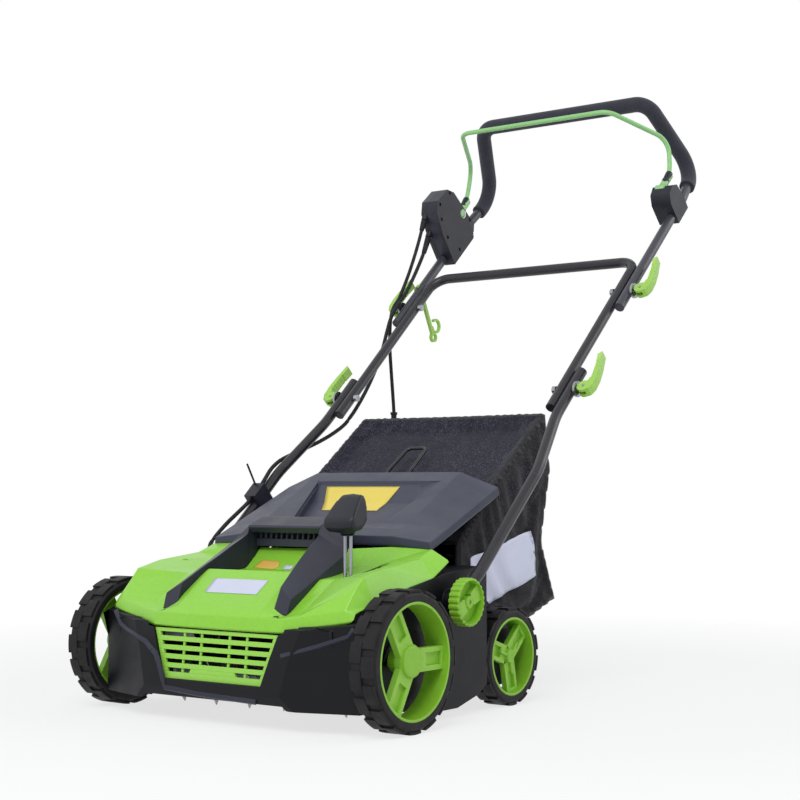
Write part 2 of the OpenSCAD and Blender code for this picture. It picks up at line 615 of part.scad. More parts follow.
// A rim with its outer face at x = 0, reaching inwards
module rim(r, w, hub, spoke_w, start, forked) difference() {
    union() {
        along_x() rotate_extrude() polygon([[r - 5, 0], [r, 0], [r, -w], [r - 4, -w], [r - 4, -w * 0.55],
            [r - 5, -w * 0.55]]);
        for (k = [0 : 2]) rotate([start + 120 * k, 0, 0]) {
            difference() {
                across(-w * 0.5, -9) polygon([[spoke_w * 0.28, -spoke_w * 0.42], [r - 4.5, -spoke_w / 2],
                    [r - 4.5, spoke_w / 2], [spoke_w * 0.28, spoke_w * 0.42]]);
                across(-w * 0.5 - 1, -14) polygon([[hub + 3, -spoke_w * 0.3], [r - 9, -spoke_w * 0.36],
                    [r - 9, spoke_w * 0.36], [hub + 3, spoke_w * 0.3]]);
                if (!forked) across(-11.5, -8) polygon([[r - 26, -spoke_w * 0.3], [r - 8, -spoke_w * 0.33],
                    [r - 8, spoke_w * 0.33], [r - 26, spoke_w * 0.3]]);
            }
            if (forked) across(-9.5, -4) polygon([[6, -3], [r * 0.52, -3], [r * 0.78, -spoke_w / 2 + 1],
                [r * 0.84, -spoke_w / 2 + 3], [r * 0.62, 0], [r * 0.84, spoke_w / 2 - 3],
                [r * 0.78, spoke_w / 2 - 1], [r * 0.52, 3], [6, 3]]);
        }
        disc_x(-w + 1, -6, hub * 0.62);
        disc_x(-w * 0.5 - 1.5, -9.3, spoke_w * 0.57);
        disc_x(-16, -5, hub);
        disc_x(-6, -3, hub * 0.72);
    }
    disc_x(-w - 1, -7, axle_d / 2 + run_gap);
}
module front_tyre() translate([front_out_x - front_tyre_w / 2, 0, front_r])
    tyre(front_r, front_rim_d / 2, front_tyre_w, 16);
module front_rim() translate([front_out_x, 0, front_r])
    rim(front_rim_d / 2, front_tyre_w - 2, 25, 34, 100, false);
module rear_tyre() translate([rear_out_x - rear_tyre_w / 2, wheelbase, rear_r])
    tyre(rear_r, rear_rim_d / 2, rear_tyre_w, 14);
module rear_rim() translate([rear_out_x, wheelbase, rear_r])
    rim(rear_rim_d / 2, rear_tyre_w - 2, 12, 32, 30, true);
module front_tyre_right() color(black) placed() front_tyre();
module front_tyre_left() color(black) placed() side(-1) front_tyre();
module front_rim_right() color(rim_green) placed() front_rim();
module front_rim_left() color(rim_green) placed() side(-1) front_rim();
module rear_tyre_right() color(black) placed() rear_tyre();
module rear_tyre_left() color(black) placed() side(-1) rear_tyre();
module rear_rim_right() color(rim_green) placed() rear_rim();
module rear_rim_left() color(rim_green) placed() side(-1) rear_rim();

module rear_axle() color(steel) placed() at_yz(wheelbase, rear_r)
    disc_x(-rear_out_x + 8, rear_out_x - 8, axle_d / 2);

// ---------------------------------------------------------------- height adjustment
crank_x0 = side_x + body_gap;
module front_axle() color(steel) placed() {
    at_yz(pivot_y, pivot_z) disc_x(-crank_x0 - crank_t, crank_x0 + crank_t, axle_d / 2);
    mirrored() {
        across(crank_x0, crank_x0 + crank_t) {
            translate([pivot_y, pivot_z]) circle(axle_d * 0.8);
            translate([0, front_r]) circle(axle_d * 0.8);
            translate([0, front_r]) rotate(atan2(crank_z, crank_y)) translate([0, -axle_d * 0.8])
                square([norm([crank_y, crank_z]), axle_d * 1.6]);
        }
        at_yz(0, front_r) disc_x(crank_x0, front_out_x - 8, axle_d / 2);
    }
}
module height_lever() color(steel) placed() at_yz(pivot_y, pivot_z) {
    disc_x(lever_x - 10, lever_x + 10, 11, axle_d / 2 + seat_gap);
    for (s = [-1, 1]) straight([lever_x + s * 5, 0, 10], [lever_x + s * 5.5, 0, lever_l], 2.5);
}
knob_l = 52;
module height_knob() color(black) placed() at_yz(pivot_y, pivot_z + lever_l) difference() {
    intersection() {
        translate([lever_x - knob_l / 2, 0, 0]) across(0, knob_l) polygon([
            [-16, -6], [14, -8], [21, 2], [22, 30], [14, 46], [0, 50], [-14, 40], [-22, 18], [-22, 2]]);
        translate([0, 40, 0]) rotate([90, 0, 0]) linear_extrude(80) polygon([
            [lever_x - 26, 2], [lever_x - 18, -8], [lever_x + 18, -8], [lever_x + 26, 4],
            [lever_x + 26, 34], [lever_x + 16, 50], [lever_x - 6, 50], [lever_x - 26, 22]]);
    }
    for (s = [-1, 1]) straight([lever_x + s * 5.5, 0, -20], [lever_x + s * 5.5, 0, 0.05], 2.5 + seat_gap);
}

// ---------------------------------------------------------------- flap
module flap_hinge_rod() color(steel) placed() at_yz(hinge_y, hinge_z)
    disc_x(-132, 132, hinge_rod_d / 2);
flap_rows = [
    [[0, 158, 263], [128, 158, 263], [150, 155, 258], [222, 152, 256]],
    [[0, 160, 288], [128, 160, 287], [150, 157, 276], [222, 154, 270]],
    [[0, 300, 356], [126, 300, 356], [146, 300, 340], [222, 320, 342]],
    [[0, 337, 375], [128, 337, 375], [152, 341, 362], [222, 343, 350]],
    [[0, 341, 360], [128, 341, 360], [152, 345, 350], [222, 347, 338]]];
flap_under = [
    [[0, 161.5, 263], [126, 161.5, 263], [147, 158.5, 258], [218, 156, 256]],
    [[0, 163.5, 284], [126, 163.5, 283], [147, 160.5, 272], [218, 158, 266]],
    [[0, 300, 352], [124, 300, 352], [143, 300, 336], [218, 320, 338]],
    [[0, 334, 371], [126, 334, 371], [150, 338, 358], [218, 340, 346]],
    [[0, 337.5, 360], [126, 337.5, 360], [149, 341.5, 350], [218, 343.5, 338]]];
module flap_knuckle(x0, x1) difference() {
    union() {
        at_yz(hinge_y, hinge_z) disc_x(x0, x1, 6);
        across(x0, x1) polygon([[hinge_y - 7, hinge_z - 4], [hinge_y + 5.9, hinge_z],
            [hinge_y + 5.9, hinge_z + 13], [hinge_y - 7, hinge_z + 8.5]]);
    }
    at_yz(hinge_y, hinge_z) disc_x(x0 - 1, x1 + 1, hinge_rod_d / 2 + run_gap);
}
module rear_flap() color(grey) placed() {
    difference() {
        grid_shell(whole(flap_rows), whole(flap_under));
        // notches for the deck's ears
        for (x = hinge_ear_xs) translate([x - 5, 140, 245]) cube([10, 33, 38]);
        // and for the spring's coils
        translate([-9, 140, 262]) cube([18, 24.5, 20.5]);
    }
    mirrored() {
        flap_knuckle(60, 74);
        flap_knuckle(112, 124);
    }
}
spring_turns = 6;
spring_pitch = 2.1;
module flap_spring() color(steel) placed() {
    at_yz(hinge_y, hinge_z) translate([-6, 0, 0]) along_x() rotate_extrude()
        for (k = [0 : spring_turns - 1]) translate([5.2, k * spring_pitch]) circle(1.2);
    straight([-6, hinge_y + 4.9, hinge_z + 0.3], [-6, hinge_y + 40, hinge_z + 19.4], 1);
}

// ---------------------------------------------------------------- bag
bag_x = bag_w / 2;
bag_front_y = deck_rear_y + 0.3;
bag_side = [[bag_front_y, 124], [470, 126], [563, 157], [518, 258], [549, 380], [532, 480],
    [360, 352], [bag_front_y, 258]];
bag_inner = [[bag_front_y - 5, 124 + cloth_t], [470, 126 + cloth_t], [559, 159], [515, 258],
    [546, 380], [530, 474], [361, 352 - 1.25 * cloth_t], [bag_front_y - 5, 252]];
handle_loop = [[24, bag_front_y + 7, 239.2], [24, 350, 334], [24, 372, 377], [20, 428, 418]];
handle_loop_r = [0, 30, 20, 10];
loop_path = concat(handle_loop, mirror_x(handle_loop));
loop_bends = concat(handle_loop_r, reversed(handle_loop_r));
mouth = [[0, bag_front_y + 8, 240], [bag_x - 10, bag_front_y + 8, 240],
    [bag_x - 10, bag_front_y + 8, 136], [0, bag_front_y + 8, 136]];
module grass_bag() color(black) placed() difference() {
    across(-bag_x, bag_x) polygon(bag_side);
    across(-bag_x + cloth_t, bag_x - cloth_t) polygon(bag_inner);
    tube_run(loop_path, loop_bends, wire_d / 2 + seat_gap);
}
module bag_frame() color(black) placed() {
    tube_run(loop_path, loop_bends, wire_d / 2);
    mirrored() tube_run(mouth, [0, 12, 12, 0], wire_d / 2);
}

// ---------------------------------------------------------------- handle
lower_route = [[outer_tube_x, tube_overlap, 0], [outer_tube_x, -70, 0], [foot_x, -210, 0],
    [foot_x, 62 - lower_run, 0], [foot_x - 3, 42 - lower_run, 0]];
module lower_tube() on_handle(lower_run) difference() {
    union() {
        tube_run(lower_route, [0, 160, 160, 40, 0], tube_r, tube_r - tube_wall);
        translate([outer_tube_x, tube_overlap, 0]) rotate([-90, 0, 0]) cylinder(h = 3, r = tube_r);
        translate([0, -lower_run, 0]) across(tab_x - tab_t / 2, tab_x + tab_t / 2) {
            circle(13);
            translate([0, -9]) square([tab_l, 18]);
        }
    }
    disc_x(outer_tube_x - tube_r - 1, outer_tube_x + tube_r + 1, bolt_d / 2 + seat_gap);
    translate([0, -lower_run, 0]) disc_x(tab_x - tab_t, tab_x + tab_t, bolt_d / 2 + run_gap);
}
module lower_tubes() color(black) placed() mirrored() lower_tube();

middle_route = concat(
    [[inner_tube_x, -middle_run - tube_overlap, 0], [inner_tube_x, crossbar_run, 0]],
    mirror_x([[inner_tube_x, -middle_run - tube_overlap, 0], [inner_tube_x, crossbar_run, 0]]));
module middle_tube() color(black) placed() on_handle(upper_run) difference() {
    union() {
        tube_run(middle_route, [0, 34, 34, 0], tube_r, tube_r - tube_wall);
        mirrored() translate([inner_tube_x, -middle_run - tube_overlap, 0]) rotate([90, 0, 0])
            cylinder(h = 3, r = tube_r);
    }
    mirrored() for (s = [0, -middle_run]) translate([0, s, 0])
        disc_x(inner_tube_x - tube_r - 1, inner_tube_x + tube_r + 1, bolt_d / 2 + run_gap);
}
half_bends = [0, 120, gooseneck_r, grip_corner_r];
upper_route = concat(half_grip, mirror_x(half_grip));
upper_bends = concat(half_bends, reversed(half_bends));
module upper_tube() color(black) placed() on_handle(upper_run) difference() {
    union() {
        tube_run(upper_route, upper_bends, tube_r, tube_r - tube_wall);
        mirrored() translate([outer_tube_x, -tube_overlap, 0]) rotate([90, 0, 0])
            cylinder(h = 3, r = tube_r);
    }
    mirrored() disc_x(outer_tube_x - tube_r - 1, outer_tube_x + tube_r + 1, bolt_d / 2 + seat_gap);
}
foam_half = [half_grip[1] + (half_grip[2] - half_grip[1]) * 0.45, half_grip[2], half_grip[3]];
foam_bends = [0, gooseneck_r, grip_corner_r];
module foam_grip() color(black) placed() on_handle(upper_run)
    tube_run(concat(foam_half, mirror_x(foam_half)), concat(foam_bends, reversed(foam_bends)),
        foam_r, tube_r + seat_gap);

// Fold bolts: from the inner head through both tubes and the lever's washer to its pin
washer_t = 4;
washer_x = outer_tube_x + tube_r;
pin_x = washer_x + washer_t + 13;
pin_r = 2.5;
cam_a = 4;
module on_lever() rotate([cam_a, 0, 0]) children();
module fold_bolt() {
    disc_x(inner_tube_x - tube_r - 7, inner_tube_x - tube_r - 0.3, 6.5);
    disc_x(inner_tube_x - tube_r - 1, pin_x - 2, bolt_d / 2);
    disc_x(washer_x + 0.1, washer_x + washer_t, 14);
    on_lever() translate([pin_x, 0, 0]) {
        translate([0, 0, -9.5]) cylinder(h = 19, r = pin_r);
        translate([0, 0, -3]) cylinder(h = 6, r = 5);
    }
}
module lower_fold_bolts() color(steel) placed() mirrored() on_handle(lower_run) fold_bolt();
module upper_fold_bolts() color(steel) placed() mirrored() on_handle(upper_run) fold_bolt();

// Cam lever, lying along the tube: X out from the tube, Y along the lever
module cam_lever() on_lever() translate([pin_x, 0, 0]) difference() {
    translate([0, 0, -8.5]) linear_extrude(17) union() {
        circle(12);
        polygon([[2, -11], [12, -8], [17, 4], [17, 26], [13, 52], [5, 86], [-2, 80], [4, 52], [7, 26], [4, 12],
            [-4, 11]]);
    }
    // fork for the bolt's eye, open over the lever's whole swing
    translate([0, 0, -3.6]) linear_extrude(7.2) polygon([[-14, -14], [6, -14], [6, 6], [-2, 8], [-14, 8]]);
    translate([0, 0, -10]) cylinder(h = 20, r = pin_r + run_gap);
    for (k = [0 : 4]) translate([5.5 - 0.9 * k, 22 + 9 * k, -10]) cylinder(h = 20, r = 2.2);
}
module cam_lever_lower_right() color(lever_green) placed() on_handle(lower_run) cam_lever();
module cam_lever_lower_left() color(lever_green) placed() side(-1) on_handle(lower_run) cam_lever();
module cam_lever_upper_right() color(lever_green) placed() on_handle(upper_run) cam_lever();
module cam_lever_upper_left() color(lever_green) placed() side(-1) on_handle(upper_run) cam_lever();

// Handle knobs and their bolts
knob_x0 = tab_x + tab_t / 2 + body_gap;
knob_t = 18;
flutes = 24;
module knob_bolts() color(steel) placed() mirrored() at_yz(knob_y, knob_z) {
    disc_x(side_x - 12, knob_x0 + knob_t - 4, bolt_d / 2);
    disc_x(side_x - 11, side_x - 6 - seat_gap, 8);
}
module handle_knob() at_yz(knob_y, knob_z) translate([knob_x0, 0, 0]) difference() {
    union() {
        difference() {
            disc_x(0, knob_t, knob_d / 2);
            disc_x(4, knob_t + 1, knob_d / 2 - 5);
        }
        disc_x(0, knob_t - 2, 9);
        for (k = [0 : 2]) rotate([120 * k + 90, 0, 0]) translate([0, 0, -4]) cube([knob_t - 3, knob_d / 2 - 3, 8]);
    }
    disc_x(-1, knob_t + 1, bolt_d / 2 + run_gap);
    for (k = [0 : flutes - 1]) rotate([360 * k / flutes, 0, 0]) translate([0, knob_d / 2 + 1, 0])
        disc_x(-1, knob_t + 1, 2.2);
}
module handle_knob_right() color(rim_green) placed() handle_knob();
module handle_knob_left() color(rim_green) placed() side(-1) handle_knob();

// ---------------------------------------------------------------- controls
box_outline = [[168, -13], [262, -13], [284, 8], [266, 100], [250, 118], [206, 120], [187, 104], [174, 60]];
box_in_x = -224;
box_out_x = -264;
box_split_x = -outer_tube_x;
module box_half(x0, x1) difference() {
    across(x0, x1) polygon(box_outline);
    across(x0 > box_split_x - 1 ? x0 - 1 : x0 + 3, x0 > box_split_x - 1 ? x1 - 3 : x1 + 1) polygon([
        [186, 18], [270, 18], [256, 96], [244, 110], [210, 112], [194, 98]]);
    translate([-outer_tube_x, 0, 0]) rotate([-90, 0, 0]) cylinder(h = 320, r = tube_r + seat_gap);
    translate([0, bail_s, bail_t]) disc_x(-bail_x - 12, -bail_x + 20, 10);
    translate([-bail_x, bail_s, bail_t]) bail_window();
}
// Room for the bail's arm over its swing
module bail_window() for (a = [-bail_swing : 7 : 0]) rotate([a, 0, 0]) translate([-9.4, 0, -9.4])
    cube([18.8, 60, 18.8]);
module switch_box_inner() color(black) placed() on_handle(upper_run) difference() {
    box_half(box_split_x + 0.02, box_in_x);
    for (p = box_screws) translate([0, p[0], p[1]]) disc_x(box_in_x - 3.2, box_in_x + 1, 4);
}
module switch_box_outer() color(black) placed() on_handle(upper_run) difference() {
    union() {
        box_half(box_out_x, box_split_x);
        for (s = glands) gland_boss(s);
    }
    translate([0, button_s, button_t]) disc_x(box_out_x - 1, box_out_x + 4, button_r + 0.3);
    for (s = glands) translate([gland_x, s[0], s[1]]) rotate([90 + gland_a, 0, 0])
        translate([0, 0, -2]) cylinder(h = 30, r = 4.5 + seat_gap);
}
box_screws = [[252, 108], [207, 110], [191, 84], [276, 24], [268, -4], [203, 0], [184, 44]];
module switch_screws() color(steel) placed() on_handle(upper_run) for (p = box_screws)
    translate([0, p[0], p[1]]) difference() {
        disc_x(box_in_x - 3.15, box_in_x - 1.4, 3.4);
        translate([box_in_x - 2.2, -0.5, -2.2]) cube([2, 1, 4.4]);
    }
// The two cables leave the box's front edge, pointing down the handle
gland_x = -257;
gland_a = 22;
glands = [[187, 96], [175, 62]];
module gland_boss(s) translate([gland_x, s[0], s[1]]) rotate([90 + gland_a, 0, 0]) translate([0, 0, -4])
    cylinder(h = 12, r = 7);
module strain_reliefs() color(black) placed() on_handle(upper_run) for (k = [0, 1])
    translate([gland_x, glands[k][0], glands[k][1]]) rotate([90 + gland_a, 0, 0]) difference() {
        union() {
            cylinder(h = 12, r = 4.5);
            translate([0, 0, 12]) cylinder(h = k == 0 ? 20 : 34, r1 = 6.5, r2 = 4.8);
        }
        translate([0, 0, 2]) cylinder(h = 60, d = (k == 0 ? lead_d : cable_d) + 2 * seat_gap);
    }
button_s = 232;
button_t = 70;
button_r = 9;
module safety_button() color(rim_green) placed() on_handle(upper_run) translate([0, button_s, button_t]) {
    disc_x(box_out_x - 6, box_out_x + 3.5, button_r);
}
pivot_outline = [[236, -14], [233, 32], [242, 50], [262, 56], [280, 46], [289, 10], [289, -14]];
module pivot_block() color(black) placed() on_handle(upper_run) difference() {
    across(bail_x - 14, outer_tube_x + 12) polygon(pivot_outline);
    translate([outer_tube_x, 200, 0]) rotate([-90, 0, 0]) cylinder(h = 120, r = tube_r + seat_gap);
    translate([0, bail_s, bail_t]) disc_x(bail_x - 12, bail_x + 12, 10);
    translate([bail_x, bail_s, bail_t]) bail_window();
}
// Bail: a rod across the grip, with a pivot at each end
bail_half = [[bail_x, bail_s, bail_t], [bail_x + 2.5, 316, 54], [bail_x - 4, 365, 97], [168, 297, 214]];
bail_bends = [0, 60, 36, 30];
bail_swing = 34;
module bail_lever() color(lever_green) placed() on_handle(upper_run) {
    tube_run(concat(bail_half, mirror_x(bail_half)), concat(bail_bends, reversed(bail_bends)), bail_r);
    mirrored() {
        translate([0, bail_s, bail_t]) disc_x(bail_x - 9, bail_x + 9, 9);
        straight([bail_x + 0.2, bail_s + 8, bail_t + 0.4], [bail_x + 1.4, bail_s + 44, bail_t + 1.6], 7.5);
    }
}
hook_s = 62;
hook_x = -outer_tube_x;
hook_w = 8;
module cord_hook() color(rim_green) placed() on_handle(upper_run) translate([hook_x, hook_s, 0]) {
    rotate([-90, 0, 0]) translate([0, 0, -hook_w / 2]) linear_extrude(hook_w) difference() {
        circle(tube_r + 3.4);
        circle(tube_r + 0.15);
        translate([1, -20]) square(40);
    }
    rotate([-handle_lean, 0, 0]) rotate([26, 0, 0]) across(-3, 3) {
        translate([-4, -94]) square([7, 81.5]);
        translate([0, -102]) difference() {
            circle(10);
            circle(6);
        }
        translate([17, -84]) difference() {
            circle(15);
            circle(11);
            translate([-30, 4]) square([26, 30]);
        }
    }
}
module cable_clip() color(black) placed() side(-1) on_handle(lower_run) translate([foot_x, -297, 0]) difference() {
    union() {
        translate([-13, 0, -13]) cube([26, 34, 36]);
        straight([6, 30, 20], [10, 42, 62], 1.8);
    }
    translate([0, -1, 0]) rotate([-90, 0, 0]) cylinder(h = 40, r = tube_r + seat_gap);
    translate([0, -1, 15]) rotate([-90, 0, 0]) cylinder(h = 40, d = cable_d + 2 * seat_gap);
}

// ---------------------------------------------------------------- cables
// Routes in the handle's frames: across, along the tubes from a fold bolt, square to them
cord_sides = 8;
cord_gap = 0.3;
function out_of_gland(k, t) = [gland_x, glands[k][0] - t * cos(gland_a), glands[k][1] - t * sin(gland_a)];
lead_upper_route = [out_of_gland(0, 2.2), out_of_gland(0, 17), out_of_gland(0, 32), [-258.5, 132, 70],
    [-261.5, 105, 55], [-265, 70, 38], [-266.5, 35, 26], [-266.5, 12, 20], [-266.5, 0, 20]];
lead_route = [[-266.5, -cord_gap, 20], [-266.5, -7, 20], [-267, -15, 18], [-267.5, -30, 11], [-267.5, -46, -1],
    [-267, -65, -18.5], [-266.5, -85, -40.5], [-266, -106.5, -68.5], [-266, -127, -97], [-266, -147.5, -125.5], [-266, -157, -138]];
cable_upper_route = [out_of_gland(1, 2.2), out_of_gland(1, 20), [-257, 132, 44.5], [-257, 100, 36],
    [-257, 66, 28], [-257, 32, 22], [-257.5, 12, 20], [-257.5, 0, 20]];
cable_middle_route = [[-257.5, -cord_gap, 20], [-257.5, -8, 20], [-257.5, -22, 19], [-257.5, -38, 17],
    [-258.5, -52, 12], [-260.5, -68, 2], [-262.5, -84, -8], [-263.5, -104, -20], [-263.5, -150, -36],
    [-263.5, -209, -48], [-263.5, -255, -52], [-263.5, -270, -52], [-263.5, -282, -52]];
cable_lower_route = [[-263.5, -cord_gap, -52], [-263.5, -8, -52], [-264.5, -25, -50], [-268, -60, -41],
    [-273, -95, -29], [-279, -128, -16],
    [-284, -156, -4], [-287, -182, 6], [-285, -210, 13], [-279, -236, 15.5], [-276, -258, 15], [-276, -302, 15],
    [-275.5, -330, 20], [-273, -370, 29], [-268, -405, 36], [-264, -428, 39]];
// Route from there into the deck, in the machine's own frame
cable_lower_end = cable_lower_route[len(cable_lower_route) - 1];
cable_lower_turn = unit(cable_lower_end - cable_lower_route[len(cable_lower_route) - 2]);
cable_deck_route = [lower_to_machine(cable_lower_end + cord_gap * cable_lower_turn),
    lower_to_machine(cable_lower_end + 6 * cable_lower_turn), [-260, 177.5, 249.5], [-255, 172.5, 242],
    [-250, 169.5, 235], [-246.4, 168.6, 229], [-238, 170, 208]];
function lower_to_machine(p) = [p.x,
    knob_y + (lower_run + p.y) * cos(handle_lean) - p.z * sin(handle_lean),
    knob_z + (lower_run + p.y) * sin(handle_lean) + p.z * cos(handle_lean)];
module motor_cable_deck() color(black) placed() cord(cable_deck_route, cable_d, cord_sides);
module motor_cable_lower() color(black) placed() on_handle(lower_run) cord(cable_lower_route, cable_d, cord_sides);
module motor_cable_middle() color(black) placed() on_handle(upper_run)
    cord(cable_middle_route, cable_d, cord_sides);
module motor_cable_upper() color(black) placed() on_handle(upper_run)
    cord(cable_upper_route, cable_d, cord_sides);
module plug_lead_upper() color(black) placed() on_handle(upper_run) cord(lead_upper_route, lead_d, cord_sides);
module plug_lead() color(black) placed() on_handle(upper_run) cord(lead_route, lead_d, cord_sides);
// Two-pin plug hanging on the lead's end, pins down
plug_pin_r = 2.4;
plug_pin_l = 19;
plug_pin_gap = 19;
module plug() color(black) placed() on_handle(upper_run) translate(lead_route[len(lead_route) - 1])
    rotate([180 - handle_lean, 0, 0]) {
        rotate_extrude() polygon([[0, 0.05], [7, 0.05], [7, 4], [5.5, 6], [5.5, 22], [12, 26], [17, 30], [19, 36],
            [19, 56], [17, 60], [0, 60]]);
        for (s = [-1, 1]) translate([s * plug_pin_gap / 2, 0, 58]) cylinder(h = plug_pin_l + 2, r = plug_pin_r);
    }

// ---------------------------------------------------------------- drawing
deck_housing();
motor_cover();
front_grille();
carry_frame();
motor_housing();
drive_belt();
drum_bearings();
rear_axle();
cover_screws();
flap_hinge_rod();
knob_bolts();
front_axle();
height_lever();
height_knob();
front_tyre_right();
front_tyre_left();
front_rim_right();
front_rim_left();
rear_tyre_right();
rear_tyre_left();
rear_rim_right();
rear_rim_left();
drum_shaft();
drum_blades();
drum_pulley();
rotor_shaft();
cooling_fan();
motor_pulley();
rear_flap();
flap_spring();
grass_bag();
bag_frame();
lower_tubes();
lower_fold_bolts();
cable_clip();
motor_cable_deck();
motor_cable_lower();
middle_tube();
motor_cable_middle();
upper_tube();
upper_fold_bolts();
foam_grip();
switch_box_inner();
switch_box_outer();
switch_screws();
pivot_block();
strain_reliefs();
motor_cable_upper();
plug_lead_upper();
plug_lead();
plug();
cam_lever_lower_right();
cam_lever_lower_left();
cam_lever_upper_right();
cam_lever_upper_left();
handle_knob_right();
handle_knob_left();
bail_lever();
safety_button();
cord_hook();
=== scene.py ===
"""Looks of the lawn dethatcher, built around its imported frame."""
import math
import bmesh
import bpy
import numpy as np
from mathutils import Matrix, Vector
from mathutils.bvhtree import BVHTree


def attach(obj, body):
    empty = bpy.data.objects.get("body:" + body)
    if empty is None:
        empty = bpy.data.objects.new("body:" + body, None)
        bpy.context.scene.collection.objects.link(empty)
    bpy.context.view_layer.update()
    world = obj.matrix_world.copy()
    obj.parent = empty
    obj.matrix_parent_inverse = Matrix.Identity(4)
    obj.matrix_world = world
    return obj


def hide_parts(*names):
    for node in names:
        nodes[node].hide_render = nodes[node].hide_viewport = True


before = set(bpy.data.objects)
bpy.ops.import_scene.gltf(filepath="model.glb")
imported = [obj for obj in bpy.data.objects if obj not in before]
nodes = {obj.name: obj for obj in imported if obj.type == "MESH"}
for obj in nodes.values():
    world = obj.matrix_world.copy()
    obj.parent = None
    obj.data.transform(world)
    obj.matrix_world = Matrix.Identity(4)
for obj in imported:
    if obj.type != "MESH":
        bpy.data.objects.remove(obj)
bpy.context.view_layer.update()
scene = bpy.context.scene

# ------------------------------------------------------------------ places
# The CAD source measures in millimetres from the front axle's middle on the floor.
ORIGIN_Y = 464.3
LEAN = math.radians(42.3)
KNOB_YZ = (158.0, 177.0)
UPPER_RUN = 788.0


def at(x, y, z):
    """A point in the CAD source's millimetres, in the row frame's metres."""
    return Vector((x, y - ORIGIN_Y, z)) / 1000


def on_handle(x, s, t):
    """A point given across the handle, along it from the upper fold, and square to it."""
    y = KNOB_YZ[0] + (UPPER_RUN + s) * math.cos(LEAN) - t * math.sin(LEAN)
    z = KNOB_YZ[1] + (UPPER_RUN + s) * math.sin(LEAN) + t * math.cos(LEAN)
    return at(x, y, z)


def added(name, data):
    """A new object in the scene, made of the data."""
    o = bpy.data.objects.new(name, data)
    scene.collection.objects.link(o)
    return o


# ------------------------------------------------------------------ camera
# The place that repeats the photograph's view, solved from its straight edges and wheels.
camera = added("camera", bpy.data.cameras.new("camera"))
scene.camera = camera
camera.location = (1.64216, -2.32956, 0.34826)
camera.rotation_euler = (math.radians(93.133), 0, math.radians(36.238))
camera.data.sensor_width = 36
camera.data.lens = 72.46
camera.data.clip_start = 0.05
camera.data.clip_end = 60
scene.view_settings.view_transform = "Standard"


# ------------------------------------------------------------------ materials
def linear(rgb):
    """A colour as seen on a screen, 0 to 255, as the shader takes it."""
    out = [c / 255 / 12.92 if c <= 10 else ((c / 255 + 0.055) / 1.055) ** 2.4 for c in rgb]
    return (*out, 1.0)


class Nodes:
    """Short calls for a material's nodes."""

    def __init__(self, name):
        self.material = bpy.data.materials.new(name)
        self.material.use_nodes = True
        self.tree = self.material.node_tree
        self.shader = self.tree.nodes["Principled BSDF"]
        self.place = self.tree.nodes.new("ShaderNodeTexCoord").outputs["Object"]

    def link(self, a, b):
        self.tree.links.new(a, b)

    def new(self, kind, **values):
        node = self.tree.nodes.new("ShaderNode" + kind)
        for key, value in values.items():
            if hasattr(node, key):
                setattr(node, key, value)
            else:
                node.inputs[key.replace("_", " ").title()].default_value = value
        return node

    def noise(self, scale, detail=3.0, rough=0.5, place=None):
        node = self.new("TexNoise", scale=scale, detail=detail, roughness=rough)
        self.link(place or self.place, node.inputs["Vector"])
        return node.outputs["Fac"]

    def voronoi(self, scale):
        node = self.new("TexVoronoi", scale=scale)
        self.link(self.place, node.inputs["Vector"])
        return node.outputs["Distance"]

    def stretched(self, x, y, z):
        """The object's coordinates, scaled along each axis."""
        node = self.new("Mapping")
        node.inputs["Scale"].default_value = (x, y, z)
        self.link(self.place, node.inputs["Vector"])
        return node.outputs["Vector"]

    def ramp(self, value, low, high, out_low=0.0, out_high=1.0):
        """The value mapped from low..high to out_low..out_high, and held there beyond."""
        node = self.new("MapRange")
        node.inputs["From Min"].default_value = low
        node.inputs["From Max"].default_value = high
        node.inputs["To Min"].default_value = out_low
        node.inputs["To Max"].default_value = out_high
        self.link(value, node.inputs["Value"])
        return node.outputs["Result"]

    def math(self, kind, a, b):
        node = self.new("Math", operation=kind)
        for socket, value in zip(node.inputs, (a, b)):
            if isinstance(value, (int, float)):
                socket.default_value = value
            else:
                self.link(value, socket)
        return node.outputs[0]

    def mix(self, fac, a, b):
        node = self.new("Mix", data_type="RGBA")
        for name, value in (("Factor", fac), ("A", a), ("B", b)):
            socket = [s for s in node.inputs if s.name == name and s.enabled][0]
            if isinstance(value, (int, float, tuple)):
                socket.default_value = value
            else:
                self.link(value, socket)
        return [s for s in node.outputs if s.enabled][0]

    def bump(self, height, strength, distance=0.001, normal=None):
        node = self.new("Bump")
        node.inputs["Strength"].default_value = strength
        node.inputs["Distance"].default_value = distance
        self.link(height, node.inputs["Height"])
        if normal:
            self.link(normal, node.inputs["Normal"])
        return node.outputs["Normal"]

    def finish(self, colour=None, rough=None, normal=None, **fixed):
        """Link what varies to the shader, and set what doesn't on its own sockets."""
        for name, value in (("Base Color", colour), ("Roughness", rough), ("Normal", normal)):
            if value is not None:
                self.link(value, self.shader.inputs[name])
        for key, value in fixed.items():
            self.shader.inputs[key.replace("_", " ")].default_value = value
        return self.material


def tone_dust_and_edge_highlight(m, base, edge, dust, dust_share=0.25):
    """A colour that varies a little, holds some dust in broad patches, and is painted paler at convex
    edges as a highlight.
    """
    patches = m.ramp(m.noise(9, 4, 0.55), 0.35, 0.75)
    tone = m.mix(m.ramp(m.noise(160, 2), 0.3, 0.7, 0, 0.35), linear(base),
                 linear([min(255, c * 1.06 + 2) for c in base]))
    dusty = m.mix(m.math("MULTIPLY", patches, dust_share), tone, linear(dust))
    # Painted highlight: convex edges take the edge colour, by pointiness.
    geometry = m.new("NewGeometry")
    edges = m.ramp(geometry.outputs["Pointiness"], 0.53, 0.60, 0, 0.55)
    return m.mix(edges, dusty, linear(edge))


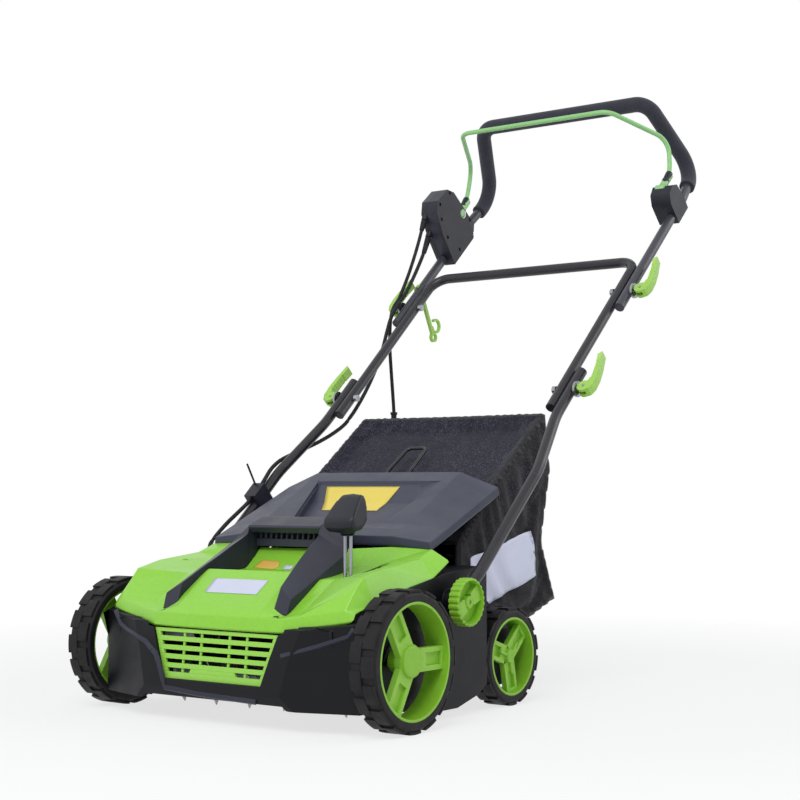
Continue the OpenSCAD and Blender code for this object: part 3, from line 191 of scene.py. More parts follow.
def moulded(name, base, edge, dust, rough=0.42, grain=900, grain_bump=0.12, dust_share=0.12,
            coat=0.0, specular=0.5):
    """Injection-moulded plastic with a fine spark-eroded grain."""
    m = Nodes(name)
    colour = tone_dust_and_edge_highlight(m, base, edge, dust, dust_share)
    shine = m.ramp(m.noise(30, 3), 0.3, 0.7, rough - 0.05, rough + 0.06)
    fine = m.bump(m.noise(grain, 2), grain_bump, 0.0004)
    broad = m.bump(m.noise(14, 2), 0.05, 0.002, fine)
    return m.finish(colour, shine, broad, Coat_Weight=coat, Coat_Roughness=0.12,
                    Specular_IOR_Level=specular)


def metal(name, base, rough=0.3, brushed=True):
    """Bare or blackened steel, with faint drawn streaks where it is brushed."""
    m = Nodes(name)
    streaks = m.noise(40, 3, 0.6, m.stretched(1, 3, 0.3) if brushed else None)
    colour = m.mix(m.ramp(streaks, 0.3, 0.7), linear([c * 0.82 for c in base]), linear(base))
    shine = m.ramp(m.noise(90, 3), 0.3, 0.7, rough - 0.07, rough + 0.1)
    return m.finish(colour, shine, m.bump(streaks, 0.02, 0.0002), Metallic=1.0)


def rubber(name, base, dust):
    """Matt rubber or cord sheath that holds some dust."""
    m = Nodes(name)
    dusty = m.ramp(m.noise(22, 5, 0.6), 0.42, 0.72, 0, 0.45)
    colour = m.mix(dusty, linear(base), linear(dust))
    shine = m.ramp(m.noise(70, 3), 0.3, 0.7, 0.5, 0.68)
    grain = m.bump(m.noise(700, 2), 0.16, 0.0005)
    return m.finish(colour, shine, grain, Specular_IOR_Level=0.28)


def painted(name, base, edge, rough=0.32):
    """Powder coat over steel: a slight orange peel under a satin shine."""
    m = Nodes(name)
    colour = tone_dust_and_edge_highlight(m, base, edge, [c + 18 for c in base], 0.15)
    peel = m.bump(m.noise(420, 2), 0.10, 0.0005)
    shine = m.ramp(m.noise(25, 3), 0.3, 0.7, rough - 0.05, rough + 0.07)
    return m.finish(colour, shine, peel, Coat_Weight=0.1, Coat_Roughness=0.2,
                    Specular_IOR_Level=0.4)


def foam(name, base):
    """Closed-cell grip foam: fine pits, with painted shade inside them."""
    m = Nodes(name)
    cells = m.voronoi(420)
    # Painted shade: darker towards each pit's middle, following the bump.
    colour = m.mix(m.ramp(cells, 0.1, 0.6), linear([c * 0.62 for c in base]), linear(base))
    pits = m.bump(cells, 0.45, 0.0007)
    return m.finish(colour, m.ramp(m.noise(40), 0.3, 0.7, 0.78, 0.9), pits, Sheen_Weight=0.2)


def cloth(name, base, fleck_light, pitch=0.0016, bare=0.5):
    """Coarse open-weave cloth: two sets of threads, painted shade in the gaps, and painted specks of
    light showing through the weave.
    """
    m = Nodes(name)
    turns = 2 * math.pi / pitch
    apart = m.new("SeparateXYZ")
    wavy = m.new("VectorMath", operation="ADD")
    shift = m.new("TexNoise", scale=60.0)
    small = m.new("VectorMath", operation="SCALE")
    small.inputs["Scale"].default_value = 0.0012
    m.link(m.place, shift.inputs["Vector"])
    m.link(shift.outputs["Color"], small.inputs[0])
    m.link(m.place, wavy.inputs[0])
    m.link(small.outputs[0], wavy.inputs[1])
    m.link(wavy.outputs[0], apart.inputs[0])
    across = m.math("SINE", m.math("MULTIPLY", apart.outputs["X"], turns), 0)
    up = m.math("MULTIPLY", m.math("ADD", apart.outputs["Z"], apart.outputs["Y"]), turns * 0.8)
    weave = m.math("MAXIMUM", m.math("MULTIPLY", across, 0.9), m.math("SINE", up, 0))
    height = m.ramp(weave, -1, 1)
    # Painted light: pale specks where light shows through the weave.
    flecks = m.ramp(m.noise(700, 1, 0.5, m.stretched(1, 0.45, 0.45)), 0.54, 0.70)
    bright = m.math("MULTIPLY", flecks, m.ramp(m.noise(7, 2), 0.35, 0.65, 0.25, 1.0))
    # Painted shade: the gaps between threads darken to bare times the base colour.
    ground = m.mix(m.ramp(height, 0.2, 0.85), linear([c * bare for c in base]), linear(base))
    tone = m.mix(m.ramp(m.noise(5, 3), 0.3, 0.7), ground,
                 m.mix(0.35, ground, linear([c * 1.25 for c in base])))
    colour = m.mix(m.math("MULTIPLY", bright, 0.75), tone, linear(fleck_light))
    normal = m.bump(height, 0.5, 0.0005)
    return m.finish(colour, m.ramp(m.noise(50), 0.3, 0.7, 0.72, 0.9), normal,
                    Sheen_Weight=0.12, Sheen_Roughness=0.5, Specular_IOR_Level=0.25)


def tape(name, base):
    """Close-woven binding tape with ribs across it, with painted shade between the ribs."""
    m = Nodes(name)
    apart = m.new("SeparateXYZ")
    m.link(m.place, apart.inputs[0])
    run = m.math("ADD", m.math("ADD", apart.outputs["X"], apart.outputs["Y"]), apart.outputs["Z"])
    ribs = m.math("SINE", m.math("MULTIPLY", run, 3200), 0)
    # Painted shade: darker in the troughs between the ribs.
    colour = m.mix(m.ramp(ribs, -1, 1), linear([c * 0.7 for c in base]), linear(base))
    return m.finish(colour, m.ramp(m.noise(60), 0.3, 0.7, 0.6, 0.8), m.bump(ribs, 0.3, 0.0004),
                    Sheen_Weight=0.2)


def label(name, base, rough=0.35):
    """A bare printed film: smooth, a little stained and creased."""
    m = Nodes(name)
    stain = m.ramp(m.noise(35, 4), 0.4, 0.8, 0, 0.10)
    colour = m.mix(stain, linear(base), linear([c * 0.82 for c in base]))
    return m.finish(colour, m.ramp(m.noise(120), 0.3, 0.7, rough - 0.05, rough + 0.08),
                    m.bump(m.noise(45, 2), 0.08, 0.0006), Coat_Weight=0.2)


# In each moulded and painted colour, the second colour is the painted highlight on its convex edges.
GREEN = moulded("cover_green", (142, 210, 56), (182, 232, 112), (156, 208, 88),
                rough=0.36, grain=700, grain_bump=0.05, dust_share=0.08, coat=0.15)
RIM_GREEN = moulded("rim_green", (136, 194, 46), (168, 220, 88), (124, 160, 66),
                    grain=800, grain_bump=0.10, dust_share=0.18)
LEVER_GREEN = moulded("lever_green", (160, 212, 84), (196, 230, 140), (150, 190, 96),
                      rough=0.40, grain=800, grain_bump=0.10)
BAIL_GREEN = painted("bail_green", (146, 204, 130), (190, 226, 180), 0.38)
BLACK = moulded("deck_black", (10, 11, 17), (36, 39, 52), (18, 19, 25),
                grain_bump=0.2, dust_share=0.3, specular=0.22)
ARM = moulded("arm_black", (34, 36, 50), (82, 85, 102), (50, 51, 64),
              grain=950, grain_bump=0.2, dust_share=0.25, specular=0.34)
GREY = moulded("shell_grey", (56, 59, 76), (104, 108, 126), (66, 69, 84),
               grain=950, grain_bump=0.2, dust_share=0.25, specular=0.38)
BOX_BLACK = moulded("box_black", (25, 26, 36), (62, 64, 80), (36, 37, 46),
                    rough=0.40, grain_bump=0.18, dust_share=0.25, specular=0.34)
TYRE = rubber("tyre_black", (15, 13, 16), (38, 36, 40))
CORD_BLACK = rubber("cord_black", (22, 22, 26), (38, 37, 40))
BELT = rubber("belt_black", (18, 18, 19), (34, 34, 34))
TUBE_BLACK = painted("tube_black", (30, 30, 37), (76, 76, 86))
FOAM = foam("grip_foam", (44, 43, 58))
STEEL = metal("zinc_steel", (170, 173, 180), 0.30)
DARK_STEEL = metal("dark_steel", (104, 106, 112), 0.38)
SCREW_BLACK = metal("screw_black", (50, 50, 54), 0.4, False)
# One bag fabric in two copies: the wrap painted lighter as lit, the sides painted darker as shade,
# with a finer weave on the sides.
BAG_WRAP_LIT = cloth("bag_fabric_lit", (27, 26, 40), (112, 110, 134))
BAG_SIDE_SHADED = cloth("bag_cloth", (13, 12, 19), (78, 74, 92), 0.0013, 0.6)
TAPE = tape("bag_tape", (14, 14, 22))
LILAC = label("bare_label", (214, 217, 238))
YELLOW = label("bare_plate", (242, 218, 88), 0.4)
ORANGE = label("bare_patch", (236, 190, 92), 0.4)


# ------------------------------------------------------------------ the frame's own pieces
SHARP = 34      # an edge between faces that turn by more degrees is rounded
FACET = 7       # the same on the pieces with flat facets
FACETED = ("motor_cover", "deck_housing")


def bevelled(o, width, angle, segments=2, clamp=False):
    """Round the edges whose faces turn by more than the angle."""
    edge = o.modifiers.new("edge", "BEVEL")
    edge.width = width
    edge.segments = segments
    edge.limit_method = "ANGLE"
    edge.angle_limit = math.radians(angle)
    edge.use_clamp_overlap = clamp
    return edge


def weighted(o):
    """Shade by the faces' areas, so that flats look flat."""
    o.modifiers.new("normals", "WEIGHTED_NORMAL").weight = 60
    return o


def smoothed(mesh):
    mesh.polygons.foreach_set("use_smooth", [True] * len(mesh.polygons))


def dress(name, material, rounding=0.0, subdivide=0):
    """A CAD node gets its material and smooth shading, and where asked a rounded edge."""
    o = nodes[name]
    o.data.materials.clear()
    o.data.materials.append(material)
    o.modifiers.new("weld", "WELD").merge_threshold = 1e-5
    if rounding:
        faceted = name in FACETED
        edge = bevelled(o, rounding, FACET if faceted else SHARP, clamp=not faceted)
        edge.miter_outer = "MITER_ARC"
    if subdivide:
        sub = o.modifiers.new("sub", "SUBSURF")
        sub.levels = sub.render_levels = subdivide
    smoothed(o.data)
    weighted(o)


# Each node that stays: its material and the radius of its edges. The rest are replaced below.
DRESS = {
    "motor_cover": (GREEN, 0.0016), "deck_housing": (BLACK, 0.0012),
    "motor_housing": (DARK_STEEL, 0.0005), "drive_belt": (BELT, 0.0003),
    "drum_bearings": (STEEL, 0.0003), "rear_axle": (DARK_STEEL, 0.0003),
    # The front axle is bare steel; the darker steel on it is painted shade where it runs between the
    # wheel and the deck.
    "front_axle": (DARK_STEEL, 0.0003), "cover_screws": (SCREW_BLACK, 0.0002),
    "flap_hinge_rod": (STEEL, 0.0), "knob_bolts": (STEEL, 0.0002), "height_lever": (STEEL, 0.0),
    "drum_shaft": (STEEL, 0.0003), "drum_blades": (STEEL, 0.0002),
    "drum_pulley": (BOX_BLACK, 0.0003), "rotor_shaft": (STEEL, 0.0002),
    "cooling_fan": (BOX_BLACK, 0.0003), "motor_pulley": (STEEL, 0.0003),
    "flap_spring": (STEEL, 0.0), "bag_frame": (TUBE_BLACK, 0.0),
    "lower_tubes": (TUBE_BLACK, 0.0004), "middle_tube": (TUBE_BLACK, 0.0004),
    "upper_tube": (TUBE_BLACK, 0.0004), "lower_fold_bolts": (STEEL, 0.0002),
    "upper_fold_bolts": (STEEL, 0.0002), "cable_clip": (BOX_BLACK, 0.0004),
    "foam_grip": (FOAM, 0.0015), "switch_box_inner": (BOX_BLACK, 0.0012),
    "switch_box_outer": (BOX_BLACK, 0.0020), "switch_screws": (SCREW_BLACK, 0.0002),
    "pivot_block": (BOX_BLACK, 0.0016), "strain_reliefs": (CORD_BLACK, 0.0003),
    "plug": (CORD_BLACK, 0.0006), "bail_lever": (BAIL_GREEN, 0.0),
    "safety_button": (RIM_GREEN, 0.0006), "cord_hook": (LEVER_GREEN, 0.0008),
}
for node_name, (paint, rounding) in DRESS.items():
    dress(node_name, paint, rounding)
for end in ("right", "left"):
    for axle in ("front", "rear"):
        dress(f"{axle}_tyre_{end}", TYRE, 0.0006)
    for row in ("lower", "upper"):
        dress(f"cam_lever_{row}_{end}", LEVER_GREEN, 0.0007)
for part in ("deck", "lower", "middle", "upper"):
    dress(f"motor_cable_{part}", CORD_BLACK, subdivide=1)


def piece(name, body, mesh, *paints):
    """A new mesh object that rides on a body."""
    o = added(name, mesh)
    for paint in paints:
        mesh.materials.append(paint)
    smoothed(mesh)
    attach(o, body)
    return o


# ------------------------------------------------------------------ mesh building
def mesh_of(name, shape):
    """The bmesh as a mesh."""
    mesh = bpy.data.meshes.new(name)
    shape.to_mesh(mesh)
    shape.free()
    return mesh


def closed_mesh(name, shape):
    """The same, with its faces turned outwards first."""
    bmesh.ops.recalc_face_normals(shape, faces=shape.faces)
    return mesh_of(name, shape)


def skin(shape, rings, joined=False, capped=False):
    """Faces between each ring of vertices and the next, all with as many."""
    for a, b in zip(rings, rings[1:] + (rings[:1] if joined else [])):
        for k in range(len(a)):
            n = (k + 1) % len(a)
            shape.faces.new((a[k], a[n], b[n], b[k]))
    if capped:
        shape.faces.new(list(reversed(rings[0])))
        shape.faces.new(rings[-1])


def add_loft(shape, loops):
    """A closed solid through a row of point loops, in the CAD source's millimetres."""
    skin(shape, [[shape.verts.new(at(*p)) for p in loop] for loop in loops], capped=True)


def add_profile(shape, profile, x0, x1):
    """A profile of (y, z) points drawn out along X."""
    add_loft(shape, [[(x, y, z) for y, z in profile] for x in (x0, x1)])


def edged(o, width, angle=FACET, segments=2, clamp=False):
    """Round a new piece's edges."""
    bevelled(o, width, angle, segments, clamp)
    return weighted(o)


def value_at(table, y):
    """The value at y in a table of (y, value) pairs."""
    ys, values = zip(*table)
    return float(np.interp(y, ys, values))


def surfaces(*objects):
    """What a ray can hit: each object's tree, and its place in the world."""
    graph = bpy.context.evaluated_depsgraph_get()
    return [(BVHTree.FromObject(o, graph), o.matrix_world.copy()) for o in objects]


# ------------------------------------------------------------------ cords
# The routes repeat part.scad's points on the upper handle: across, along and square to it.
LEAD_D = 0.007
LEAD_STEPS = 4
LEAD_UPPER = [(-257, 185, 95), (-257, 171, 89.5), (-257, 157, 83.5), (-258.5, 132, 70),
              (-261.5, 105, 55), (-265, 70, 38), (-266.5, 35, 26), (-266.5, 12, 20),
              (-266.5, 0, 19)]
LEAD = [(-266.5, 0, 19), (-267, -14, 17.5), (-267.5, -30, 11), (-267.5, -46, -1),
        (-267, -65, -18.5), (-266.5, -85, -40.5), (-266, -106.5, -68.5), (-266, -127, -97),
        (-266, -147.5, -125.5), (-266, -157, -138)]


def through(points, steps):
    """A smooth line through the points, a few steps for each stretch."""
    p = [Vector(q) for q in points]
    p = [2 * p[0] - p[1], *p, 2 * p[-1] - p[-2]]
    line = []
    for a, b, c, d in zip(p, p[1:], p[2:], p[3:]):
        for k in range(steps):
            t = k / steps
            line.append(0.5 * (2 * b + (c - a) * t + (2 * a - 5 * b + 4 * c - d) * t * t
                               + (3 * b - a - 3 * c + d) * t ** 3))
    return [*line, p[-2]]


def cord(name, route, body):
    """A cord along a route on the upper handle, and the points it follows."""
    line = [on_handle(*p) for p in through(route, LEAD_STEPS)]
    data = bpy.data.curves.new(name, "CURVE")
    data.dimensions = "3D"
    data.bevel_depth = LEAD_D / 2
    data.bevel_resolution = 5
    data.use_fill_caps = True
    spline = data.splines.new("POLY")
    spline.points.add(len(line) - 1)
    for target, source in zip(spline.points, line):
        target.co = (*source, 1)
    spline.use_smooth = True
    data.materials.append(CORD_BLACK)
    o = added(name, data)
    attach(o, body)
    return o, line


lead_upper, lead_upper_line = cord("lead_upper", LEAD_UPPER, "upper_handle")
lead, lead_line = cord("lead", LEAD, "middle_handle")
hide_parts("plug_lead_upper")
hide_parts("plug_lead")


# ------------------------------------------------------------------ grass bag
# Side outline in Y and Z: mouth low, floor, heel, waist, back, top edge, shoulder, mouth high.
BAG_LINE = [(262.3, 124), (470, 126), (563, 157), (518, 258), (549, 380), (532, 480), (360, 352),
            (262.3, 258)]
BAG_X = 200.0
TOP_EDGE = BAG_LINE[5]
MOUTH_Y, MOUTH_CUT, MOUTH_HELD = 264, 266, 276      # the band's line, the opening, the pinned rim
MOUTH_Z = (124, 258)
CLOTH_INSET = 1.5                                   # room for the cloth to swell
# The cloth, in metres
CLOTH_CELL = 0.0075
SEAM_HOLD = 0.016
SIDE_DEPTH = 0.0045
SLACK_CAP = 0.013
CLOTH_FRAMES = 18
CLOTH_THICK = 0.0012
HEM, SEAM_TAPE = 0.014, 0.011
TAPE_RISE, TAPE_FADE = 0.0006, 0.002


def solid_from_outline(name, line, half):
    """A closed prism across X from an outline in Y and Z."""
    shape = bmesh.new()
    add_profile(shape, line, -half, half)
    return added(name, closed_mesh(name, shape))


def applied(o):
    """Work the object's modifiers into its mesh."""
    graph = bpy.context.evaluated_depsgraph_get()
    mesh = bpy.data.meshes.new_from_object(o.evaluated_get(graph))
    o.modifiers.clear()
    o.data = mesh


def from_line(points, line):
    """Each point's distance to a broken line, all as rows of numbers."""
    best = np.full(len(points), 9.0)
    for a, b in zip(line[:-1], line[1:]):
        a, b = np.array(a), np.array(b)
        t = np.clip(((points - a) @ (b - a)) / ((b - a) @ (b - a)), 0, 1)
        best = np.minimum(best, np.linalg.norm(points - a - t[:, None] * (b - a), axis=1))
    return best


def vertex_places(mesh):
    """The mesh's points as rows of numbers."""
    out = np.zeros(len(mesh.vertices) * 3)
    mesh.vertices.foreach_get("co", out)
    return out.reshape(-1, 3)


corner_lines = [[tuple(at(side, *p)) for p in BAG_LINE] for side in (-BAG_X, BAG_X)]
hem_line = [tuple(at(x, *TOP_EDGE)) for x in (-BAG_X, BAG_X)]
low, high = MOUTH_Z
mouth_line = [tuple(at(x, MOUTH_Y, z)) for x, z in ((-BAG_X, low), (BAG_X, low), (BAG_X, high),
                                                    (-BAG_X, high), (-BAG_X, low))]


def open_mouth(mesh):
    """Take away the faces at the bag's open front."""
    opened = bmesh.new()
    opened.from_mesh(mesh)
    front = at(0, MOUTH_CUT, 0).y
    gone = [f for f in opened.faces if all(v.co.y < front for v in f.verts)]
    bmesh.ops.delete(opened, geom=gone, context="FACES")
    opened.to_mesh(mesh)
    opened.free()


def hang(o, held):
    """Let the cloth settle, held as much as each point's weight says."""
    hold = o.vertex_groups.new(name="hold")
    for i, value in enumerate(held):
        hold.add([i], float(value), "REPLACE")
    modifier = o.modifiers.new("cloth", "CLOTH")
    physics = modifier.settings
    physics.quality = 6
    physics.mass = 0.25
    physics.tension_stiffness = physics.compression_stiffness = 12
    physics.shear_stiffness = 6
    physics.bending_stiffness = 0.35
    physics.vertex_group_mass = "hold"
    physics.pin_stiffness = 1
    physics.shrink_min = physics.shrink_max = -0.035
    physics.effector_weights.gravity = 0.6
    modifier.point_cache.frame_start = 1
    modifier.point_cache.frame_end = CLOTH_FRAMES
    for step in range(1, CLOTH_FRAMES + 1):
        scene.frame_set(step)
    applied(o)
    scene.frame_set(1)
    o.vertex_groups.clear()


def bag_shell():
    """The bag's cloth: its outline meshed evenly, slackened and left to hang from its frame."""
    o = solid_from_outline("bag_start", BAG_LINE, BAG_X - CLOTH_INSET)
    remesh = o.modifiers.new("remesh", "REMESH")
    remesh.mode = "VOXEL"
    remesh.voxel_size = CLOTH_CELL
    applied(o)
    open_mouth(o.data)
    rest = vertex_places(o.data)
    near = np.min([from_line(rest, line) for line in (*corner_lines, hem_line)], axis=0)
    held = np.clip(1.25 - near / SEAM_HOLD, 0, 1)
    held[rest[:, 1] < at(0, MOUTH_HELD, 0).y] = 1
    hang(o, held)
    moved = vertex_places(o.data) - rest
    far = np.linalg.norm(moved, axis=1, keepdims=True)
    now = rest + moved * np.minimum(1, SLACK_CAP / np.maximum(far, 1e-9))
    o.data.vertices.foreach_set("co", now.ravel())
    return o, rest


def bag_panels():
    """Three panels cut from the shell along its corner seams."""
    shell, rest = bag_shell()
    across = np.array([rest[list(f.vertices)].mean(axis=0)[0] for f in shell.data.polygons])
    side = np.where(np.abs(across) > BAG_X / 1000 - SIDE_DEPTH, np.sign(across), 0).astype(int)
    made = {}
    for name, key in (("bag_wrap", 0), ("bag_side_right", 1), ("bag_side_left", -1)):
        part = bmesh.new()
        part.from_mesh(shell.data)
        part.faces.ensure_lookup_table()
        gone = [f for f in part.faces if side[f.index] != key]
        bmesh.ops.delete(part, geom=gone, context="FACES")
        made[name] = mesh_of(name, part)
    bpy.data.objects.remove(shell)
    return made


def band(mesh, lines, width):
    """Faces near the lines become tape, lifted a little along their normals."""
    points = vertex_places(mesh)
    mesh.update()
    near = np.min([from_line(points, line) for line in lines], axis=0)
    out = np.array([v.normal for v in mesh.vertices])
    points += out * (np.clip((width - near) / TAPE_FADE, 0, 1) * TAPE_RISE)[:, None]
    for f in mesh.polygons:
        f.material_index = int(near[list(f.vertices)].max() < width)
    mesh.vertices.foreach_set("co", points.ravel())
    mesh.update()


panels = {}
for name, mesh in bag_panels().items():
    wrap = name == "bag_wrap"
    band(mesh, [*corner_lines, mouth_line] + ([hem_line] if wrap else []),
         HEM if wrap else SEAM_TAPE)
    panel = piece(name, "bag", mesh, BAG_WRAP_LIT if wrap else BAG_SIDE_SHADED, TAPE)
    thick = panel.modifiers.new("thick", "SOLIDIFY")
    thick.thickness = CLOTH_THICK
    thick.offset = -1
    panels[name] = panel
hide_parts("grass_bag")


# ------------------------------------------------------------------ moulded shells
# Rear flap: tables along Y of its crest plane's and outer edge's heights, the outer edge's own
# Y, the sunk floor's depth, sides and side slope, and the rib that clears the spring.
FLAP_Y = (147.5, 148, 157, 169, 180, 190, 197, 212, 217, 222, 248, 275, 309, 310, 337, 341)
FLAP_CREST = ((147.5, 262), (148, 274.3), (157, 279), (169, 285.2), (180, 288.6), (190, 292.2),
              (337, 375.5), (341, 364))
FLAP_OUTER = ((147.5, 256), (148, 265.5), (337, 350), (341, 340))
FLAP_OUTER_Y = ((147.5, 149.5), (148, 150), (337, 342), (341, 346))
FLOOR_DROP = ((157, 0), (180, 4), (197, 14), (222, 17), (307, 17), (310, 0))
FLOOR_LEFT = ((147, -78), (210, -96), (310, -128), (341, -131))
FLOOR_RIGHT = ((147, 60), (177, 69), (197, 104), (222, 110), (248, 116), (275, 125), (310, 133),
               (341, 133))
FLOOR_SLOPE = ((190, 16), (214, 26), (239, 20), (262, 20), (307, 40), (341, 40))
SPRING_RIB = ((185, 0), (190, 0.8), (212, 1.2), (217, 17))


def flap_row(y):
    """The flap's upper side at y, from its left lip to its right one."""
    crest, outer = value_at(FLAP_CREST, y), value_at(FLAP_OUTER, y)
    outer_y, drop = value_at(FLAP_OUTER_Y, y), value_at(FLOOR_DROP, y)
    left, right = value_at(FLOOR_LEFT, y), value_at(FLOOR_RIGHT, y)
    slope, rib = value_at(FLOOR_SLOPE, y), min(drop, value_at(SPRING_RIB, y))
    return [(-223, outer_y + 1, outer - 12), (-222, outer_y, outer), (-152, y + 1, crest - 0.5),
            (left, y, crest), (left + 1.5, y, crest - drop), (-14, y, crest - drop),
            (-12, y, crest - rib), (12, y, crest - rib), (14, y, crest - drop),
            (right - slope, y, crest - drop), (right, y, crest), (152, y + 1, crest - 0.5),
            (222, outer_y, outer), (223, outer_y + 1, outer - 12)]


def flap_mesh():
    """A shell: the upper side, and the same moved in for its underside."""
    shape = bmesh.new()
    loops = []
    for y in FLAP_Y:
        row = flap_row(y)
        loops.append(row + [(a * 0.985, b + 1.6, c - 3.8) for a, b, c in reversed(row)])
    add_loft(shape, loops)
    return closed_mesh("flap_shell", shape)


flap_shell = edged(piece("flap_shell", "flap", flap_mesh(), GREY), 0.0012)
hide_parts("rear_flap")

# Carry frame: each arm in sections from its foot to the hood, inner edge then outer edge; the
# hood's profile in Y and Z; and the teeth under it.
CARRY_ARM = [((97, -72, 165), (124, -72, 165)), ((99, -56, 204), (125.5, -64, 187)),
             ((88, -12, 231.4), (126, -20, 207.5)), ((82, 12, 245.5), (126, 5, 220)),
             ((77.5, 35, 259.4), (126, 28, 231.5)), ((73.8, 55, 270.5), (126, 50, 242.5)),
             ((72, 65, 277), (126, 64, 250)), ((72, 68, 289.5), (118, 76, 260)),
             ((72, 84, 296.5), (107, 86, 270)), ((72, 100, 302.5), (97, 96, 279)),
             ((72, 143, 287), (90, 120, 272))]
HOOD = [(65, 286.5), (66.5, 289.8), (100, 303), (104, 303), (143, 287), (143, 256), (86, 256),
        (86, 268.5), (95, 269.5), (95, 279), (72, 278)]
HOOD_HALF = 73
TOOTH = [(86.5, 268), (95.5, 268), (95.5, 279.5), (88.5, 279.5)]
TOOTH_X = range(-66, 67, 11)
TOOTH_HALF = 2.2
SUNK = 0.8              # how far the arms reach into the cover
ABOVE_ALL = 400


def carry_mesh(under):
    """The two arms, their undersides laid on the cover, with the hood and its teeth."""
    shape = bmesh.new()
    tree, place = surfaces(under)[0]
    back = place.inverted()

    def foot(x, y, top):
        hit = tree.ray_cast(back @ at(x, y, ABOVE_ALL), back.to_3x3() @ Vector((0, 0, -1)))[0]
        low = (place @ hit).z * 1000 - SUNK if hit is not None else top - 25
        return (x, y, min(low, top - 2))

    for side in (1, -1):
        loops = []
        for inner, outer in CARRY_ARM:
            a, b = ((side * inner[0],) + inner[1:], (side * outer[0],) + outer[1:])
            loops.append([a, b, foot(*b), foot(*a)])
        add_loft(shape, loops)
    add_profile(shape, HOOD, -HOOD_HALF, HOOD_HALF)
    for x in TOOTH_X:
        add_profile(shape, TOOTH, x - TOOTH_HALF, x + TOOTH_HALF)
    return closed_mesh("carry_shell", shape)


carry_shell = edged(piece("carry_shell", "chassis", carry_mesh(nodes["motor_cover"]), ARM), 0.0012)
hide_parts("carry_frame")

# Height knob: one side outline in Y and Z, its half width by height, and the shares it shrinks
# to across its width; and its round collar as (radius, height) pairs.
KNOB_SIDE = [(-6, 297), (-3, 304), (27, 336), (34, 340), (40, 338), (43, 328), (36, 300),
             (27, 286), (6, 282), (-3, 288)]
KNOB_HALF = ((284, 27), (300, 29), (340, 20))
KNOB_SHARES = ((-1, 0.72), (-0.9, 0.96), (0, 1.02), (0.9, 0.96), (1, 0.72))
KNOB_MIDDLE = (162.5, 20, 309)
COLLAR_MIDDLE = (165, 19)
COLLAR = ((9, 278), (10.5, 278.6), (12, 283), (15, 290))


def circle(around):
    """Angles that divide a turn evenly."""
    return np.linspace(0, 2 * math.pi, around, endpoint=False)


def knob_mesh():
    """The height knob: a rounded paddle on its collar."""
    shape = bmesh.new()
    kx, ky, kz = KNOB_MIDDLE
    add_loft(shape, [[(kx + across * value_at(KNOB_HALF, z), ky + (y - ky) * share,
                       kz + (z - kz) * share) for y, z in KNOB_SIDE]
                     for across, share in KNOB_SHARES])
    cx, cy = COLLAR_MIDDLE
    add_loft(shape, [[(cx + r * math.cos(a), cy + 0.8 * r * math.sin(a), z) for a in circle(20)]
                     for r, z in COLLAR])
    return closed_mesh("height_grip", shape)


height_grip = edged(piece("height_grip", "height_axle", knob_mesh(), BOX_BLACK), 0.0028, 12, 3)
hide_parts("height_knob")


# ------------------------------------------------------------------ wheels, knobs, grille
SIDES = (("right", 1), ("left", -1))


def turned(shape, profile, centre, x0, sign, around=64):
    """A ring turned about X from a closed outline of (depth inwards, radius) points."""
    y0, z0 = centre
    skin(shape, [[shape.verts.new(at(x0 - sign * d, y0 + r * math.cos(a), z0 + r * math.sin(a)))
                  for d, r in profile] for a in circle(around)], joined=True)


def spoke_block(shape, outline, centre, x0, sign, angle, near, far):
    """An outline of (radial, sideways) points turned by the angle, from depth near to depth far."""
    y0, z0 = centre
    c, t = math.cos(math.radians(angle)), math.sin(math.radians(angle))
    add_loft(shape, [[(x0 - sign * d, y0 + u * c - v * t, z0 + u * t + v * c) for u, v in outline]
                     for d in (near, far)])


def bar(u0, u1, v0, v1):
    """The outline of a straight bar from u0 to u1 along and v0 to v1 across."""
    return [(u0, v0), (u1, v0), (u1, v1), (u0, v1)]


RIM_BORE = 6.2
SPOKE_ANGLES = (0, 120, 240)
SPOKE_FLOOR, SPOKE_EDGE, SPOKE_BACK = 15, 9.5, 16      # depths of a spoke's floor and raised edges
SMALL_HUB = 20                                        # below this a hub has an arrow on each spoke
ARROW = [(0, -2), (27, -2), (31, 0), (27, 2), (0, 2)]


def rim_mesh(name, r, w, hub, start, x0, sign, centre):
    """A rim of radius r and width w with three trough-shaped spokes, a hub and its cap."""
    shape = bmesh.new()
    turned(shape, [(0, r - 4), (0, r), (w, r), (w, r - 4), (w * 0.55, r - 4.5)], centre, x0, sign, 96)
    half = 15 if hub < SMALL_HUB else 17
    inner, outer = hub * 0.75, r - 4.3
    low, high = half * 0.55, half * 0.6
    for angle in SPOKE_ANGLES:
        def block(outline, near=SPOKE_EDGE, far=SPOKE_BACK):
            spoke_block(shape, outline, centre, x0, sign, start + angle, near, far)
        block(bar(inner, outer, -half, half), SPOKE_FLOOR, w * 0.5)
        block(bar(inner, outer, half, low))
        block(bar(inner, outer, -half, -low))
        block(bar(inner, hub + 12, -high, high))
        block(bar(outer - 5, outer, -high, high))
    turned(shape, [(9, RIM_BORE), (9, hub), (w * 0.5, hub), (w - 1, hub * 0.62), (w - 1, RIM_BORE)],
           centre, x0, sign)
    turned(shape, [(5, 0.4), (4, hub * 0.76), (5, hub * 0.9), (9.4, hub * 0.94), (9.4, 0.4)],
           centre, x0, sign)
    if hub < SMALL_HUB:
        for angle in SPOKE_ANGLES:
            spoke_block(shape, ARROW, centre, x0, sign, start + angle, 5.5, 10)
    return closed_mesh(name, shape)


